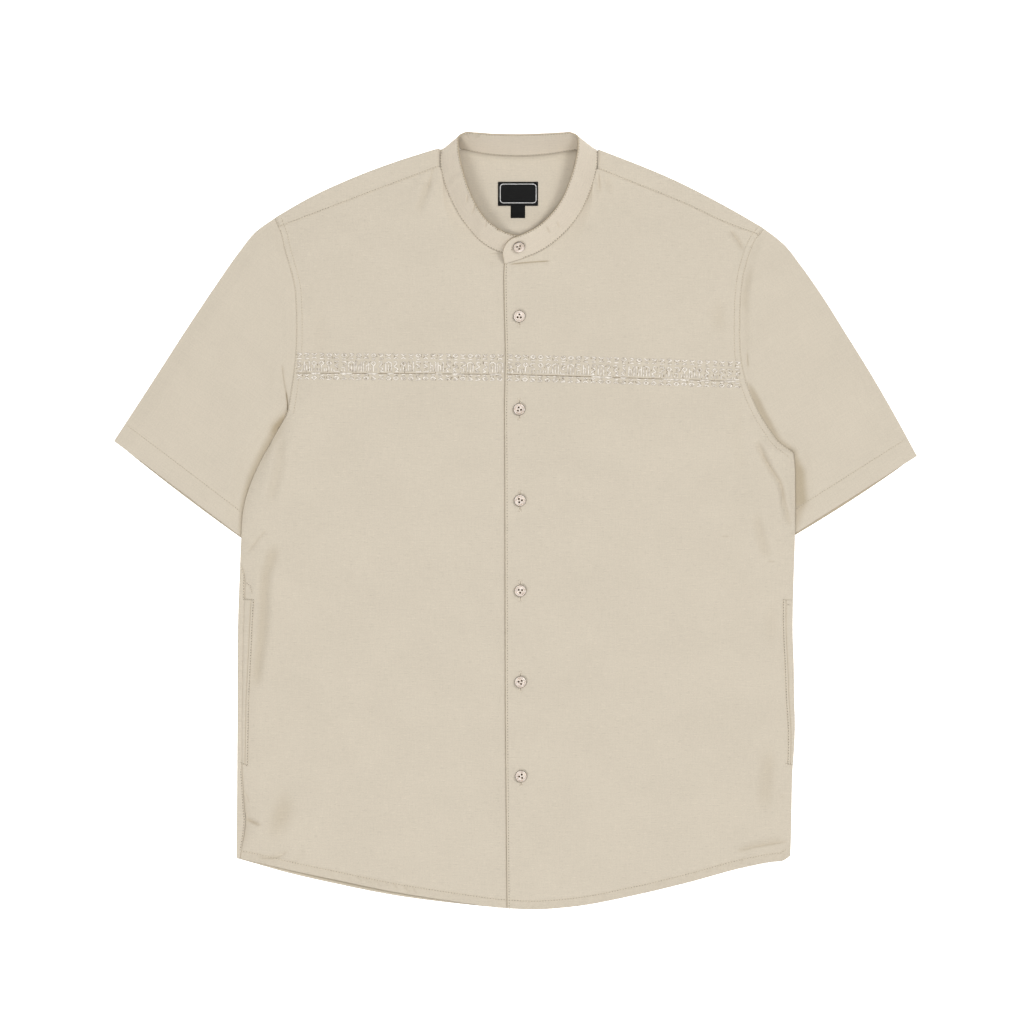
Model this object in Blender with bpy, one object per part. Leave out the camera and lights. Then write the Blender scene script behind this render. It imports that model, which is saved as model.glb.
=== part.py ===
"""A baju koko laid flat on its back: short sleeves, band collar, button front.

The frame has its origin under the middle of the laid shirt, +X to the viewer's right, +Y towards the
collar and +Z up from the surface that the shirt lies on.  All tables and sizes are in millimetres.
"""

import math

import bmesh
import bpy
import numpy as np
from mathutils import Matrix

MM = 0.001

# Cloth: walls, layers that lie on each other, and round folds between two layers
WALL = 1.2
GAP = 0.3
LAYER = WALL + GAP
BACK_HEIGHT = WALL / 2
FRONT_HEIGHT = BACK_HEIGHT + LAYER
FOLD_RADIUS = LAYER / 2
FOLD_REACH = FOLD_RADIUS + WALL / 2
FOLD_STEPS = 4
LOFT = 1.4
LOFT_MARGIN = 0.14

# The body lies over the sleeves' lower corners: each sleeve is two layers thick
TUCK_LIFT = 2 * LAYER + 0.2
TUCK_SLOPE = 40.0
FRONT_TUCK_SLOPE = 46.0

# Front opening: the upper front lies on the lower one up to the lower one's edge
UNDER_EDGE_X = 18.5
OVERLAP_END_X = 21.0
OVERLAP_SLOPE = 26.0
MIDDLE_X = 5.0
MIDDLE_FLAT = 24.0
MIDDLE_SLOPE = 45.0

# Side seams lie a little in front of the side folds
LIP_START = 1.2
LIP_LEFT = 4.6
LIP_RIGHT = 3.4

# Side pockets and the back yoke's seam
POCKET_TOP_Y = -77.5
POCKET_BOTTOM_Y = -243.5
YOKE_SEAM_Y = 271.5

# Collar band
BAND_WALL = 1.8
BAND_SEAM = 1.4
BAND_ROWS = 4
BAND_STATIONS = 72
BAND_END_RADIUS = 16.0
BAND_END_STATIONS = 6

# Labels on the inside of the yoke: centre and size as seen from above
LABEL_WALL = 1.0
LABEL_BEVEL = 0.2
LABEL_CENTRE = (2.5, 327.5)
LABEL_SIZE = (40.0, 24.0)
TAB_CENTRE = (2.4, 309.1)
TAB_SIZE = (14.5, 12.2)

# Buttons: a turned profile from the underside round the rim to the sunk middle, and three holes
BUTTON_SEGMENTS = 14
BUTTON_HOLE_RADIUS = 0.75
BUTTON_HOLE_SIDES = 6
BUTTON_SHARP_ANGLE = 40.0
BUTTON_PROFILE = [
    # radius, height
    (4.8, 0.0),
    (6.0, 0.7),
    (5.9, 1.8),
    (5.0, 2.4),
    (3.6, 1.6),
]
BUTTON_HOLES = [
    # x, y
    (0.1, 1.9),
    (-1.65, -0.85),
    (1.55, -1.05),
]
BUTTON_PLACES = [
    # x, y on the upper front, from the collar down
    (3.8, 204.9),
    (3.7, 112.1),
    (4.5, 21.0),
    (4.8, -69.3),
    (5.0, -160.4),
    (5.5, -254.5),
]
COLLAR_BUTTON_X = 7.0
COLLAR_BUTTON_SHARE = 0.57
COLLAR_BUTTON_CLEARANCE = 0.6
COLLAR_BUTTON_SPAN = 0.004

# Outlines as seen from above: x, y
SHOULDER_LEFT = [(-240.7, 303.8), (-205.5, 324.0), (-163.5, 343.3), (-121.5, 359.2), (-76.3, 373.6)]
SHOULDER_RIGHT = [(248.7, 293.1), (214.5, 312.8), (186.5, 327.8), (158.5, 341.6), (130.5, 353.6),
                  (102.5, 364.6), (83.2, 372.0)]
FORWARD_SEAM_LEFT = [(-237.4, 294.0), (-156.0, 325.0), (-75.9, 355.1)]
FORWARD_SEAM_RIGHT = [(243.2, 286.3), (215.2, 296.5), (165.0, 319.5), (117.5, 338.5), (82.0, 353.0)]
ARMHOLE_LEFT = [(-240.3, 302.4), (-234.0, 285.7), (-230.7, 271.0), (-226.7, 257.5), (-221.1, 235.5),
                (-219.4, 212.0), (-219.1, 189.9), (-219.8, 168.0), (-222.0, 146.0), (-227.5, 108.5)]
ARMHOLE_RIGHT = [(248.0, 291.8), (239.5, 280.5), (232.7, 263.5), (228.2, 246.5), (225.5, 226.5),
                 (224.6, 201.5), (224.5, 186.5), (225.6, 162.5), (229.6, 137.0), (237.0, 115.0)]
SIDE_LEFT = [(-227.5, 108.5), (-239.5, 87.5), (-254.8, 59.9), (-265.5, 35.5), (-271.6, 14.0),
             (-274.0, -15.0), (-275.5, -46.5), (-277.5, -100.0), (-278.0, -190.0), (-278.5, -270.0),
             (-279.0, -336.5)]
SIDE_RIGHT = [(237.0, 115.0), (251.0, 94.5), (264.3, 77.5), (275.4, 62.0), (279.2, 40.0), (279.4, -10.0),
              (278.0, -46.5), (276.6, -85.0), (277.8, -160.0), (277.3, -226.5), (275.7, -290.0),
              (275.5, -334.5)]
HEM = [(-279.0, -336.5), (-261.5, -341.5), (-233.5, -349.5), (-177.5, -362.5), (-121.5, -373.5),
       (-65.5, -381.0), (-9.5, -386.3), (18.5, -387.5), (60.5, -384.5), (116.5, -374.0),
       (172.5, -360.7), (228.5, -345.7), (256.5, -339.5), (275.5, -334.5)]
UNDER_FRONT_HEM_RISE = 3.0
UNDER_FRONT_HEM_RISE_END = 0.87
UNDER_EDGE = [(UNDER_EDGE_X, -400.0), (UNDER_EDGE_X, 300.0)]
OVER_EDGE = [(-8.4, -400.0), (-10.2, -180.0), (-10.6, 40.0), (-11.0, 115.0), (-10.0, 165.0),
             (-12.0, 245.0), (-12.0, 300.0)]

# Sleeves: the fold along the top, the hidden underarm point, and the inner end of the hem
SLEEVE_FOLD_LEFT = [(-240.7, 303.8), (-261.5, 288.0), (-275.5, 270.5), (-303.5, 230.5), (-331.5, 188.5),
                    (-359.5, 145.0), (-387.5, 102.0), (-401.5, 80.5)]
SLEEVE_FOLD_RIGHT = [(248.7, 293.1), (270.5, 275.0), (284.5, 257.0), (312.5, 216.5), (326.5, 194.0),
                     (354.5, 149.0), (382.5, 100.5), (401.5, 65.5)]
UNDERARM_LEFT = (-247.0, 62.0)
UNDERARM_RIGHT = (271.0, 56.0)
SLEEVE_HEM_END_LEFT = (-246.0, -36.5)
SLEEVE_HEM_END_RIGHT = (238.0, -38.0)

# Convex regions in which a sleeve lies beneath the body
TUCKS = [
    [(-224.0, 118.0), (-262.0, 66.0), (-238.0, 58.0)],
    [(-266.0, 66.0), (-240.0, 60.0), (-242.0, -42.0), (-284.0, -14.0)],
    [(234.0, 121.0), (286.0, 62.0), (264.0, 54.0)],
    [(286.0, 66.0), (288.0, -12.0), (230.0, -46.0), (264.0, 60.0)],
]

# The collar band from its hidden end round the back to its visible end
BAND = [
    # foot x, foot y, foot height, top x, top y, rise
    (18.5, 269.5, 2.3, 18.5, 285.0, 8.0),
    (4.5, 267.2, 2.3, 5.5, 285.5, 10.0),
    (-10.5, 268.3, 2.3, -5.0, 286.6, 12.5),
    (-23.0, 272.6, 2.3, -15.0, 290.6, 14.0),
    (-35.5, 281.0, 2.3, -25.5, 298.0, 15.0),
    (-46.2, 292.7, 2.3, -34.8, 308.0, 16.0),
    (-55.7, 305.7, 2.3, -41.6, 320.5, 17.0),
    (-64.2, 321.5, 2.3, -47.3, 333.2, 18.0),
    (-70.2, 336.5, 2.3, -52.0, 348.0, 18.5),
    (-73.8, 351.5, 2.3, -55.2, 360.5, 19.0),
    (-74.8, 363.0, 2.3, -56.7, 371.5, 19.0),
    (-72.8, 371.3, 1.9, -56.6, 382.5, 19.0),
    (-64.5, 373.7, 1.3, -51.0, 387.0, 19.0),
    (-50.5, 371.9, 1.0, -40.5, 387.2, 19.0),
    (-30.0, 368.0, 1.0, -25.5, 386.2, 19.0),
    (1.5, 365.8, 1.0, 1.5, 385.5, 19.0),
    (33.0, 367.6, 1.0, 29.5, 386.2, 19.0),
    (58.0, 371.6, 1.0, 47.0, 387.2, 19.0),
    (73.0, 373.3, 1.3, 56.0, 387.0, 19.0),
    (80.8, 370.4, 2.0, 61.3, 383.5, 19.0),
    (81.6, 361.5, 2.3, 62.3, 374.5, 19.0),
    (80.3, 350.0, 2.3, 60.8, 364.0, 19.0),
    (77.0, 337.5, 2.3, 57.8, 351.5, 18.5),
    (71.7, 323.0, 2.3, 53.2, 337.5, 18.0),
    (64.3, 308.0, 2.3, 47.3, 323.5, 17.0),
    (55.2, 295.5, 2.5, 40.0, 312.0, 16.5),
    (43.0, 283.2, 3.2, 30.2, 301.0, 15.5),
    (29.6, 273.2, 4.2, 19.4, 292.6, 14.5),
    (16.2, 266.3, 4.4, 7.9, 286.8, 13.5),
    (4.0, 262.1, 4.4, -2.5, 282.8, 12.5),
    (-11.2, 257.6, 4.4, -15.0, 277.5, 12.0),
]

# The yoke's neck edge at the back, just inside the band's foot
NECK_BACK = [(-75.9, 372.0), (-62.0, 371.7), (-50.5, 370.3), (-30.0, 366.6), (1.5, 364.4), (33.0, 366.2),
             (58.0, 369.9), (70.0, 371.4), (82.6, 370.9)]

# Large soft folds, as straight ridges or troughs that fade at both ends
FOLDS_UNDER = [
    # start x, start y, end x, end y, half width, height
    (-236.0, 88.0, -240.0, 36.0, 9.0, -1.0),
    (-240.0, 36.0, -253.0, -16.0, 8.0, -1.0),
    (-238.0, -18.0, -251.5, -84.0, 8.0, -1.4),
    (-251.5, -84.0, -258.0, -145.0, 8.0, -1.2),
    (-226.0, -60.0, -236.0, -150.0, 12.0, 1.0),
    (-229.5, -278.0, -247.5, -322.0, 9.0, -1.2),
    (-83.5, 347.5, -99.5, 304.5, 7.0, 0.9),
]
FOLDS_OVER = [
    # start x, start y, end x, end y, half width, height
    (246.0, 76.0, 258.0, 47.0, 8.0, 1.0),
    (258.0, 47.0, 273.0, 6.0, 7.0, 1.0),
    (238.0, 14.0, 252.0, -32.0, 8.0, 0.9),
    (254.0, -222.5, 248.5, -292.5, 9.0, -1.2),
    (216.0, -318.0, 262.0, -308.0, 9.0, 1.0),
    (88.0, 350.0, 96.0, 327.5, 6.0, 0.8),
]
FOLDS_SLEEVE_LEFT = [
    # start x, start y, end x, end y, half width, height
    (-246.0, 240.0, -240.0, 140.0, 10.0, 0.8),
]
FOLDS_SLEEVE_RIGHT = [
    # start x, start y, end x, end y, half width, height
    (236.0, 255.0, 233.0, 165.0, 8.0, 1.2),
]

# Points along shared seams.  Columns are distances from the side, in millimetres.
SHOULDER_COLUMNS = [0.0, 4.5, 9.0, 18.0, 27.0, 36.0, 46.0, 57.0, 70.0, 86.0, 105.0, 130.0, 161.0]
NECK_COLUMNS = [172.0, 183.0, 195.0, 207.0, 219.0, 231.0, 244.0, 258.0, 276.0, 295.0]
BACK_SIDE_COLUMNS = [0.0, 9.0, 18.0, 27.0, 36.0, 46.0, 57.0, 70.0, 86.0]
BACK_MIDDLE_COLUMNS = 4
WELT_COLUMNS = 3
ARMHOLE_STATIONS = 9
SIDE_STATIONS = 11
POCKET_STATIONS = 6
LOWER_STATIONS = 5
HIDDEN_STATIONS = 3
SLEEVE_STATIONS = 11
NECK_BACK_STATIONS = 13
FORWARD_SEAM_INDEX = 1
YOKE_SEAM_INDEX = 3
BACK_WIDTH_ROW = ARMHOLE_STATIONS + 3
CURVE_SAMPLES = 400

# How far the curve of a top edge or a hem reaches into a panel, as a share of its length
FRONT_TOP_REACH = 0.36
BACK_TOP_REACH = 0.3
HEM_REACH = 0.25
SLEEVE_FOLD_START = 0.035

# Shares of the band's length within which its two front ends are looked for
BAND_LEFT_END = 0.35
BAND_RIGHT_START = 0.6
BAND_BUTTON_START = 0.9


def length_shares(points):
    """Length along a row of points, as a share of the whole."""
    steps = np.linalg.norm(np.diff(points, axis=0), axis=1)
    length = np.concatenate([[0.0], np.cumsum(steps)])
    return length / length[-1]


def smooth(rows, shares):
    """Points at the given shares of a smooth curve through the rows."""
    points = np.asarray(rows, dtype=float)
    knots = length_shares(points[:, :2])
    slopes = np.gradient(points, knots, axis=0)
    shares = np.atleast_1d(np.asarray(shares, dtype=float))
    index = np.clip(np.searchsorted(knots, shares, side="right") - 1, 0, len(knots) - 2)
    span = (knots[index + 1] - knots[index])[:, None]
    t = (shares[:, None] - knots[index][:, None]) / span
    return ((2 * t**3 - 3 * t**2 + 1) * points[index] + (t**3 - 2 * t**2 + t) * span * slopes[index]
            + (3 * t**2 - 2 * t**3) * points[index + 1] + (t**3 - t**2) * span * slopes[index + 1])


def share_where(rows, axis, value, start=0.0, end=1.0):
    """The share of a smooth curve, between two shares, at which x (0) or y (1) reaches a value."""
    samples = np.linspace(start, end, CURVE_SAMPLES)
    found = smooth(rows, samples)[:, axis]
    order = np.argsort(found)
    return float(np.interp(value, found[order], samples[order]))


def ease(t):
    """Smooth step from 0 to 1."""
    t = np.clip(t, 0.0, 1.0)
    return t * t * (3 - 2 * t)


def moved_left(points, distance):
    """A row of points in the plane, moved to the left of its travel by a distance or distances."""
    along = np.gradient(points[:, :2], axis=0)
    along /= np.linalg.norm(along, axis=1)[:, None]
    left = np.stack([-along[:, 1], along[:, 0]], axis=1)
    distance = np.broadcast_to(np.asarray(distance, dtype=float), (len(points),))
    return points[:, :2] + left * distance[:, None]


def distance_outside(x, y, corners):
    """Distance from points to a convex region in the plane, nothing inside it."""
    corners = np.asarray(corners, dtype=float)
    nearest = np.full(np.shape(x), np.inf)
    sides = []
    for start, end in zip(corners, np.roll(corners, -1, axis=0)):
        run = end - start
        t = np.clip(((x - start[0]) * run[0] + (y - start[1]) * run[1]) / (run @ run), 0.0, 1.0)
        nearest = np.minimum(nearest, np.hypot(x - start[0] - t * run[0], y - start[1] - t * run[1]))
        sides.append(run[0] * (y - start[1]) - run[1] * (x - start[0]))
    sides = np.array(sides)
    inside = np.all(sides >= 0, axis=0) | np.all(sides <= 0, axis=0)
    return np.where(inside, 0.0, nearest)


def tuck_share(x, y, slope):
    """1 where a sleeve lies beneath the body, falling to 0 over the slope around it."""
    gap = np.min([distance_outside(x, y, corners) for corners in TUCKS], axis=0)
    return 1.0 - ease(gap / slope)


def fold_height(x, y, folds):
    """Height that the listed folds add at points in the plane."""
    height = np.zeros(np.shape(x))
    for x0, y0, x1, y1, half_width, size in folds:
        length = math.hypot(x1 - x0, y1 - y0)
        along = ((x - x0) * (x1 - x0) + (y - y0) * (y1 - y0)) / length
        across = ((x - x0) * (y1 - y0) - (y - y0) * (x1 - x0)) / length
        start = ease(along / (2 * half_width) + 0.5)
        end = ease((length - along) / (2 * half_width) + 0.5)
        height += size * start * end * np.exp(-(across / half_width) ** 2)
    return height


def middle_share(x):
    """0 along the buttoned edges, 1 away from them."""
    return ease((np.abs(x - MIDDLE_X) - MIDDLE_FLAT) / MIDDLE_SLOPE)


def edge_share(t):
    """0 at both ends of a panel's run, 1 beyond the margin."""
    return ease(np.minimum(t, 1 - t) / LOFT_MARGIN)


def blended_grid(top, bottom, start, end, shares, top_reach=1.0, bottom_reach=1.0):
    """Plan points of a panel between four edges, with one row for each point of the start edge.

    Each row runs straight from the start edge to the end edge, and bends to meet the top and bottom
    edges within their reach, given as shares of the panel's length.
    """
    v = length_shares(start)[:, None, None]
    u = np.asarray(shares)[None, :, None]
    level = (1 - u) * start[:, None, :] + u * end[:, None, :]
    top_pull = 1 - ease(v / top_reach) if top_reach < 1 else 1 - v
    bottom_pull = ease((v - 1 + bottom_reach) / bottom_reach) if bottom_reach < 1 else v
    return level + top_pull * (top[None] - level[:1]) + bottom_pull * (bottom[None] - level[-1:])


def raised(grid, height):
    """Plan points and their heights as one array of x, y, z."""
    height = np.broadcast_to(np.asarray(height, dtype=float), grid.shape[:-1])
    return np.concatenate([grid, height[..., None]], axis=-1)


def fold_rows(edge, outward, low, high):
    """Rows of a half-round fold that joins two layers along an edge, lower layer first."""
    reach = moved_left(edge, outward) - edge[:, :2]
    middle = (low + high) / 2
    radius = (high - low) / 2
    turns = np.linspace(0.0, math.pi, FOLD_STEPS + 1)
    return np.array([raised(edge[:, :2] + reach * radius * math.sin(turn), middle - radius * math.cos(turn))
                     for turn in turns])


def plain_material(name, colour, roughness):
    """A Principled material of one colour, given in linear values."""
    material = bpy.data.materials.new(name)
    material.use_nodes = True
    shader = material.node_tree.nodes["Principled BSDF"]
    shader.inputs["Base Color"].default_value = (*colour, 1.0)
    shader.inputs["Roughness"].default_value = roughness
    shader.inputs["Metallic"].default_value = 0.0
    material.diffuse_color = (*colour, 1.0)
    return material


def link_mesh(name, mesh, material):
    """A named object in the scene for a mesh of one material."""
    mesh.materials.append(material)
    piece = bpy.data.objects.new(name, mesh)
    bpy.context.scene.collection.objects.link(piece)
    return piece


def add_cloth(name, patches, wall, material):
    """One piece of cloth from patches of its middle surface, joined where they share points."""
    points = []
    faces = []
    for patch in patches:
        rows, columns = patch.shape[:2]
        first = len(points)
        faces += [(first + r * columns + c, first + r * columns + c + 1,
                   first + (r + 1) * columns + c + 1, first + (r + 1) * columns + c)
                  for r in range(rows - 1) for c in range(columns - 1)]
        points += (patch.reshape(-1, 3) * MM).tolist()
    mesh = bpy.data.meshes.new(name)
    mesh.from_pydata(points, [], faces)
    work = bmesh.new()
    work.from_mesh(mesh)
    bmesh.ops.remove_doubles(work, verts=work.verts, dist=0.01 * MM)
    bmesh.ops.recalc_face_normals(work, faces=work.faces)
    work.to_mesh(mesh)
    work.free()
    mesh.shade_smooth()
    piece = link_mesh(name, mesh, material)
    thickness = piece.modifiers.new("wall", "SOLIDIFY")
    thickness.thickness = wall * MM
    thickness.offset = 0.0
    thickness.use_even_offset = True
    return piece


def armhole_points(rows, forward_seam):
    """Points down an armhole, shared by all that is sewn there, with both yoke seams among them."""
    forward = share_where(rows, 1, forward_seam[0][1])
    yoke = share_where(rows, 1, YOKE_SEAM_Y)
    return smooth(rows, np.concatenate([[0.0, forward, (forward + yoke) / 2],
                                        np.linspace(yoke, 1.0, ARMHOLE_STATIONS)]))


def side_points(rows):
    """Points down the side of the body, with both ends of the pocket among them."""
    top = share_where(rows, 1, POCKET_TOP_Y)
    bottom = share_where(rows, 1, POCKET_BOTTOM_Y)
    return smooth(rows, np.concatenate([np.linspace(0.0, top, SIDE_STATIONS),
                                        np.linspace(top, bottom, POCKET_STATIONS)[1:],
                                        np.linspace(bottom, 1.0, LOWER_STATIONS)[1:]]))


def lip_widths(full):
    """How far the back reaches round a side fold, for each point down the side."""
    count = SIDE_STATIONS + POCKET_STATIONS + LOWER_STATIONS - 2
    growth = ease(np.arange(count) / (SIDE_STATIONS - 1))
    return LIP_START + (full - LIP_START) * growth


def front_grid(side, top, edge_rows, hem_rise):
    """Plan points of a front between its side, its top edge, its edge at the middle and its hem."""
    shares = np.array(SHOULDER_COLUMNS + NECK_COLUMNS) / NECK_COLUMNS[-1]
    armhole_rows = len(side) - (SIDE_STATIONS + POCKET_STATIONS + LOWER_STATIONS - 3)
    end_y = side[:, 1].copy()
    end_y[:armhole_rows] = np.linspace(top[-1][1], side[armhole_rows - 1][1], armhole_rows)
    edge_rows = np.asarray(edge_rows)
    bottom_x = float(np.interp(HEM[len(HEM) // 2][1], edge_rows[:, 1], edge_rows[:, 0]))
    hem_start = share_where(HEM, 0, side[-1][0])
    hem_end = share_where(HEM, 0, bottom_x)
    hem = smooth(HEM, hem_start + (hem_end - hem_start) * shares)
    hem[:, 1] += hem_rise * np.sin(math.pi * np.clip(shares / UNDER_FRONT_HEM_RISE_END, 0.0, 1.0))
    hem[0] = side[-1]
    end_y[-LOWER_STATIONS:] = np.linspace(end_y[-LOWER_STATIONS], hem[-1][1], LOWER_STATIONS)
    end = np.stack([np.interp(end_y, edge_rows[:, 1], edge_rows[:, 0]), end_y], axis=1)
    end[0] = top[-1]
    end[-1] = hem[-1]
    return blended_grid(top, hem, side, end, shares, FRONT_TOP_REACH, HEM_REACH)


def front_panel(arm, side, lip, forward, neck, edge_rows, inward, folds, over):
    """Middle surface of one front; inward is 1 where +X leads from its side to its middle."""
    arm_edge = moved_left(arm, inward * GAP / 2)[FORWARD_SEAM_INDEX:]
    side_edge = moved_left(side, inward * (FOLD_REACH + lip + GAP))[1:]
    down = moved_left(forward, -inward * GAP / 2) - forward
    seam = forward + down
    seam[0] = arm_edge[0] + down[0]
    start = np.concatenate([seam[:1], arm_edge[1:], side_edge])
    seam[-1] = neck[0] + down[-1]
    top = np.concatenate([seam, neck[1:]])
    grid = front_grid(start, top, edge_rows, 0.0 if over else UNDER_FRONT_HEM_RISE)
    x, y = grid[..., 0], grid[..., 1]
    u = np.array(SHOULDER_COLUMNS + NECK_COLUMNS)[None, :] / NECK_COLUMNS[-1]
    v = length_shares(start)[:, None]
    near = tuck_share(x, y, FRONT_TUCK_SLOPE)
    loft = LOFT * ease(u / LOFT_MARGIN) * edge_share(v) * middle_share(x)
    height = FRONT_HEIGHT + TUCK_LIFT * near + np.maximum(0.0, loft + fold_height(x, y, folds))
    if over:
        height = height + LAYER * (1.0 - ease((x - OVERLAP_END_X) / OVERLAP_SLOPE))
    return raised(grid, height)


def back_panel(arms, sides, lips):
    """Middle surface of the back, with its strips round the side folds."""
    edges = []
    for arm, side, inward in zip(arms, sides, (1, -1)):
        arm_edge = moved_left(arm, inward * GAP / 2)[YOKE_SEAM_INDEX:]
        arm_edge[0][1] -= GAP / 2
        edges.append(np.concatenate([arm_edge, moved_left(side, inward * FOLD_REACH)[1:]]))
    left, right = edges
    half = BACK_SIDE_COLUMNS
    width = np.linalg.norm(right[BACK_WIDTH_ROW] - left[BACK_WIDTH_ROW])
    middle = np.linspace(half[-1], width - half[-1], BACK_MIDDLE_COLUMNS + 2)[1:-1]
    shares = np.concatenate([half, middle, width - np.array(half)[::-1]]) / width
    top = left[0] + (right[0] - left[0]) * shares[:, None]
    hem_start = share_where(HEM, 0, left[-1][0])
    hem_end = share_where(HEM, 0, right[-1][0])
    hem = smooth(HEM, hem_start + (hem_end - hem_start) * shares)
    hem[0] = left[-1]
    hem[-1] = right[-1]
    grid = blended_grid(top, hem, left, right, shares, BACK_TOP_REACH, HEM_REACH)
    near = tuck_share(grid[..., 0], grid[..., 1], TUCK_SLOPE)
    patches = [raised(grid, BACK_HEIGHT + TUCK_LIFT * near)]
    for column, lip, inward in ((0, lips[0], 1), (-1, lips[1], -1)):
        edge = patches[0][ARMHOLE_STATIONS:, column]
        patches.append(side_fold(edge, lip[1:], inward))
    return patches


def side_fold(edge, lip, inward):
    """The back's strip round a side fold: a half-round turn up from the edge, then a narrow lip."""
    outward = moved_left(edge, -inward) - edge[:, :2]
    turns = np.linspace(0.0, math.pi, FOLD_STEPS + 1)
    rows = [raised(edge[:, :2] + outward * FOLD_RADIUS * math.sin(turn),
                   edge[:, 2] + FOLD_RADIUS * (1 - math.cos(turn))) for turn in turns]
    rows.append(raised(edge[:, :2] - outward * lip[:, None], edge[:, 2] + 2 * FOLD_RADIUS))
    return np.array(rows)


def between(start, end, count):
    """Points evenly spaced on a straight line in the plane."""
    return np.linspace(np.asarray(start, dtype=float), np.asarray(end, dtype=float), count)


def straight_grid(top, bottom, start, end):
    """Plan points between four edges, blended evenly."""
    return blended_grid(top, bottom, start, end, length_shares(top))


def yoke(arms, shoulders, forwards):
    """Middle surface of the yoke: its back, the turns over both shoulders and the strips in front."""
    patches = []
    neck_columns = []
    for arm, shoulder, forward, inward in zip(arms, shoulders, forwards, (1, -1)):
        arm_edge = moved_left(arm, inward * GAP / 2)
        up = moved_left(forward, inward * GAP / 2) - forward
        shares = np.array(SHOULDER_COLUMNS) / SHOULDER_COLUMNS[-1]
        fold = moved_left(smooth(shoulder, shares), -inward * FOLD_REACH)
        fold[0] = arm_edge[0]
        fold[-1] = NECK_BACK[0] if inward == 1 else NECK_BACK[-1]
        seam = forward + up
        seam[0] = arm_edge[FORWARD_SEAM_INDEX] + up[0]
        start = arm_edge[YOKE_SEAM_INDEX::-1]
        start[0][1] += GAP / 2
        neck_column = between((fold[-1][0], start[0][1]), fold[-1], len(start))
        lower = start[0] + (neck_column[0] - start[0]) * shares[:, None]
        back = blended_grid(lower, fold, start, neck_column, shares)
        front = np.array([fold, seam])
        patches.append(raised(back, BACK_HEIGHT))
        patches.append(fold_rows(fold, inward, BACK_HEIGHT, FRONT_HEIGHT))
        patches.append(raised(front, FRONT_HEIGHT))
        neck_columns.append(neck_column)
    neck = smooth(NECK_BACK, np.linspace(0.0, 1.0, NECK_BACK_STATIONS))
    left, right = neck_columns
    lower = between(left[0], right[0], NECK_BACK_STATIONS)
    patches.append(raised(straight_grid(lower, neck, left, right), BACK_HEIGHT))
    return patches


def sleeve(arm, top_fold, underarm, hem_end, inward, folds):
    """Middle surface of a sleeve laid flat: two layers joined by folds along the top and the underarm."""
    arm_edge = moved_left(arm, -inward * GAP / 2)
    hidden = between(arm_edge[-1], underarm, HIDDEN_STATIONS)[1:]
    start = np.concatenate([arm_edge, hidden])
    top = moved_left(smooth(top_fold, np.linspace(0.0, 1.0, SLEEVE_STATIONS)), inward * FOLD_REACH)
    top[0] = start[0]
    end = top[-1] + (np.asarray(hem_end) - top[-1]) * length_shares(start)[:, None]
    bottom = between(start[-1], end[-1], SLEEVE_STATIONS)
    grid = straight_grid(top, bottom, start, end)
    u = length_shares(top)[None, :]
    v = length_shares(start)[:, None]
    x, y = grid[..., 0], grid[..., 1]
    clear = 1.0 - tuck_share(x, y, TUCK_SLOPE)
    shape = LOFT * edge_share(u) + fold_height(x, y, folds) * ease(u / SLEEVE_FOLD_START)
    front = raised(grid, FRONT_HEIGHT + np.maximum(0.0, shape * edge_share(v) * clear))
    return [front, raised(grid, BACK_HEIGHT),
            fold_rows(top, -inward, BACK_HEIGHT, FRONT_HEIGHT),
            fold_rows(bottom, inward, BACK_HEIGHT, FRONT_HEIGHT)]


def band_stations():
    """Shares along the band's foot, closer together round its visible end."""
    length = np.linalg.norm(np.diff(np.array(BAND)[:, :2], axis=0), axis=1).sum()
    turns = np.linspace(0.0, math.pi / 2, BAND_END_STATIONS)
    rounded = 1.0 - BAND_END_RADIUS * (1 - np.sin(turns)) / length
    return np.concatenate([np.linspace(0.0, rounded[0], BAND_STATIONS)[:-1], rounded]), length


def band_frames(shares):
    """Foot points and full-height top points of the band's middle surface."""
    rows = smooth(BAND, shares)
    foot = rows[:, :3]
    top = np.concatenate([rows[:, 3:5], (rows[:, 2] + rows[:, 5])[:, None]], axis=1)
    return foot, top


def collar_band():
    """Middle surface of the collar band, its visible end rounded at the top."""
    shares, length = band_stations()
    foot, top = band_frames(shares)
    tall = np.linalg.norm(top - foot, axis=1)
    left = np.clip(BAND_END_RADIUS - (1.0 - shares) * length, 0.0, BAND_END_RADIUS)
    height = 1.0 - (BAND_END_RADIUS - np.sqrt(BAND_END_RADIUS**2 - left**2)) / tall
    steps = np.linspace(0.0, 1.0, BAND_ROWS)[:, None, None]
    return [foot[None] + (top - foot)[None] * height[None, :, None] * steps]


def neck_edge(start, end, forward_end, count_shares):
    """A front's neck edge, from the forward seam to the middle, beside the band's foot."""
    shares = start + (end - start) * count_shares
    order = np.linspace(0.0, 1.0, CURVE_SAMPLES)
    beside = moved_left(smooth(BAND, order), BAND_SEAM)
    points = np.stack([np.interp(shares, order, beside[:, axis]) for axis in (0, 1)], axis=1)
    points[0] = forward_end
    return points


def pocket_welt(front):
    """A welt made from the front's own points beside its side seam, moved up by one layer."""
    underarm_row = ARMHOLE_STATIONS - 1 + YOKE_SEAM_INDEX - FORWARD_SEAM_INDEX
    first = underarm_row + SIDE_STATIONS - 1
    rows = front[first:first + POCKET_STATIONS, :WELT_COLUMNS].copy()
    rows[..., 2] += LAYER
    return [rows]


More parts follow.
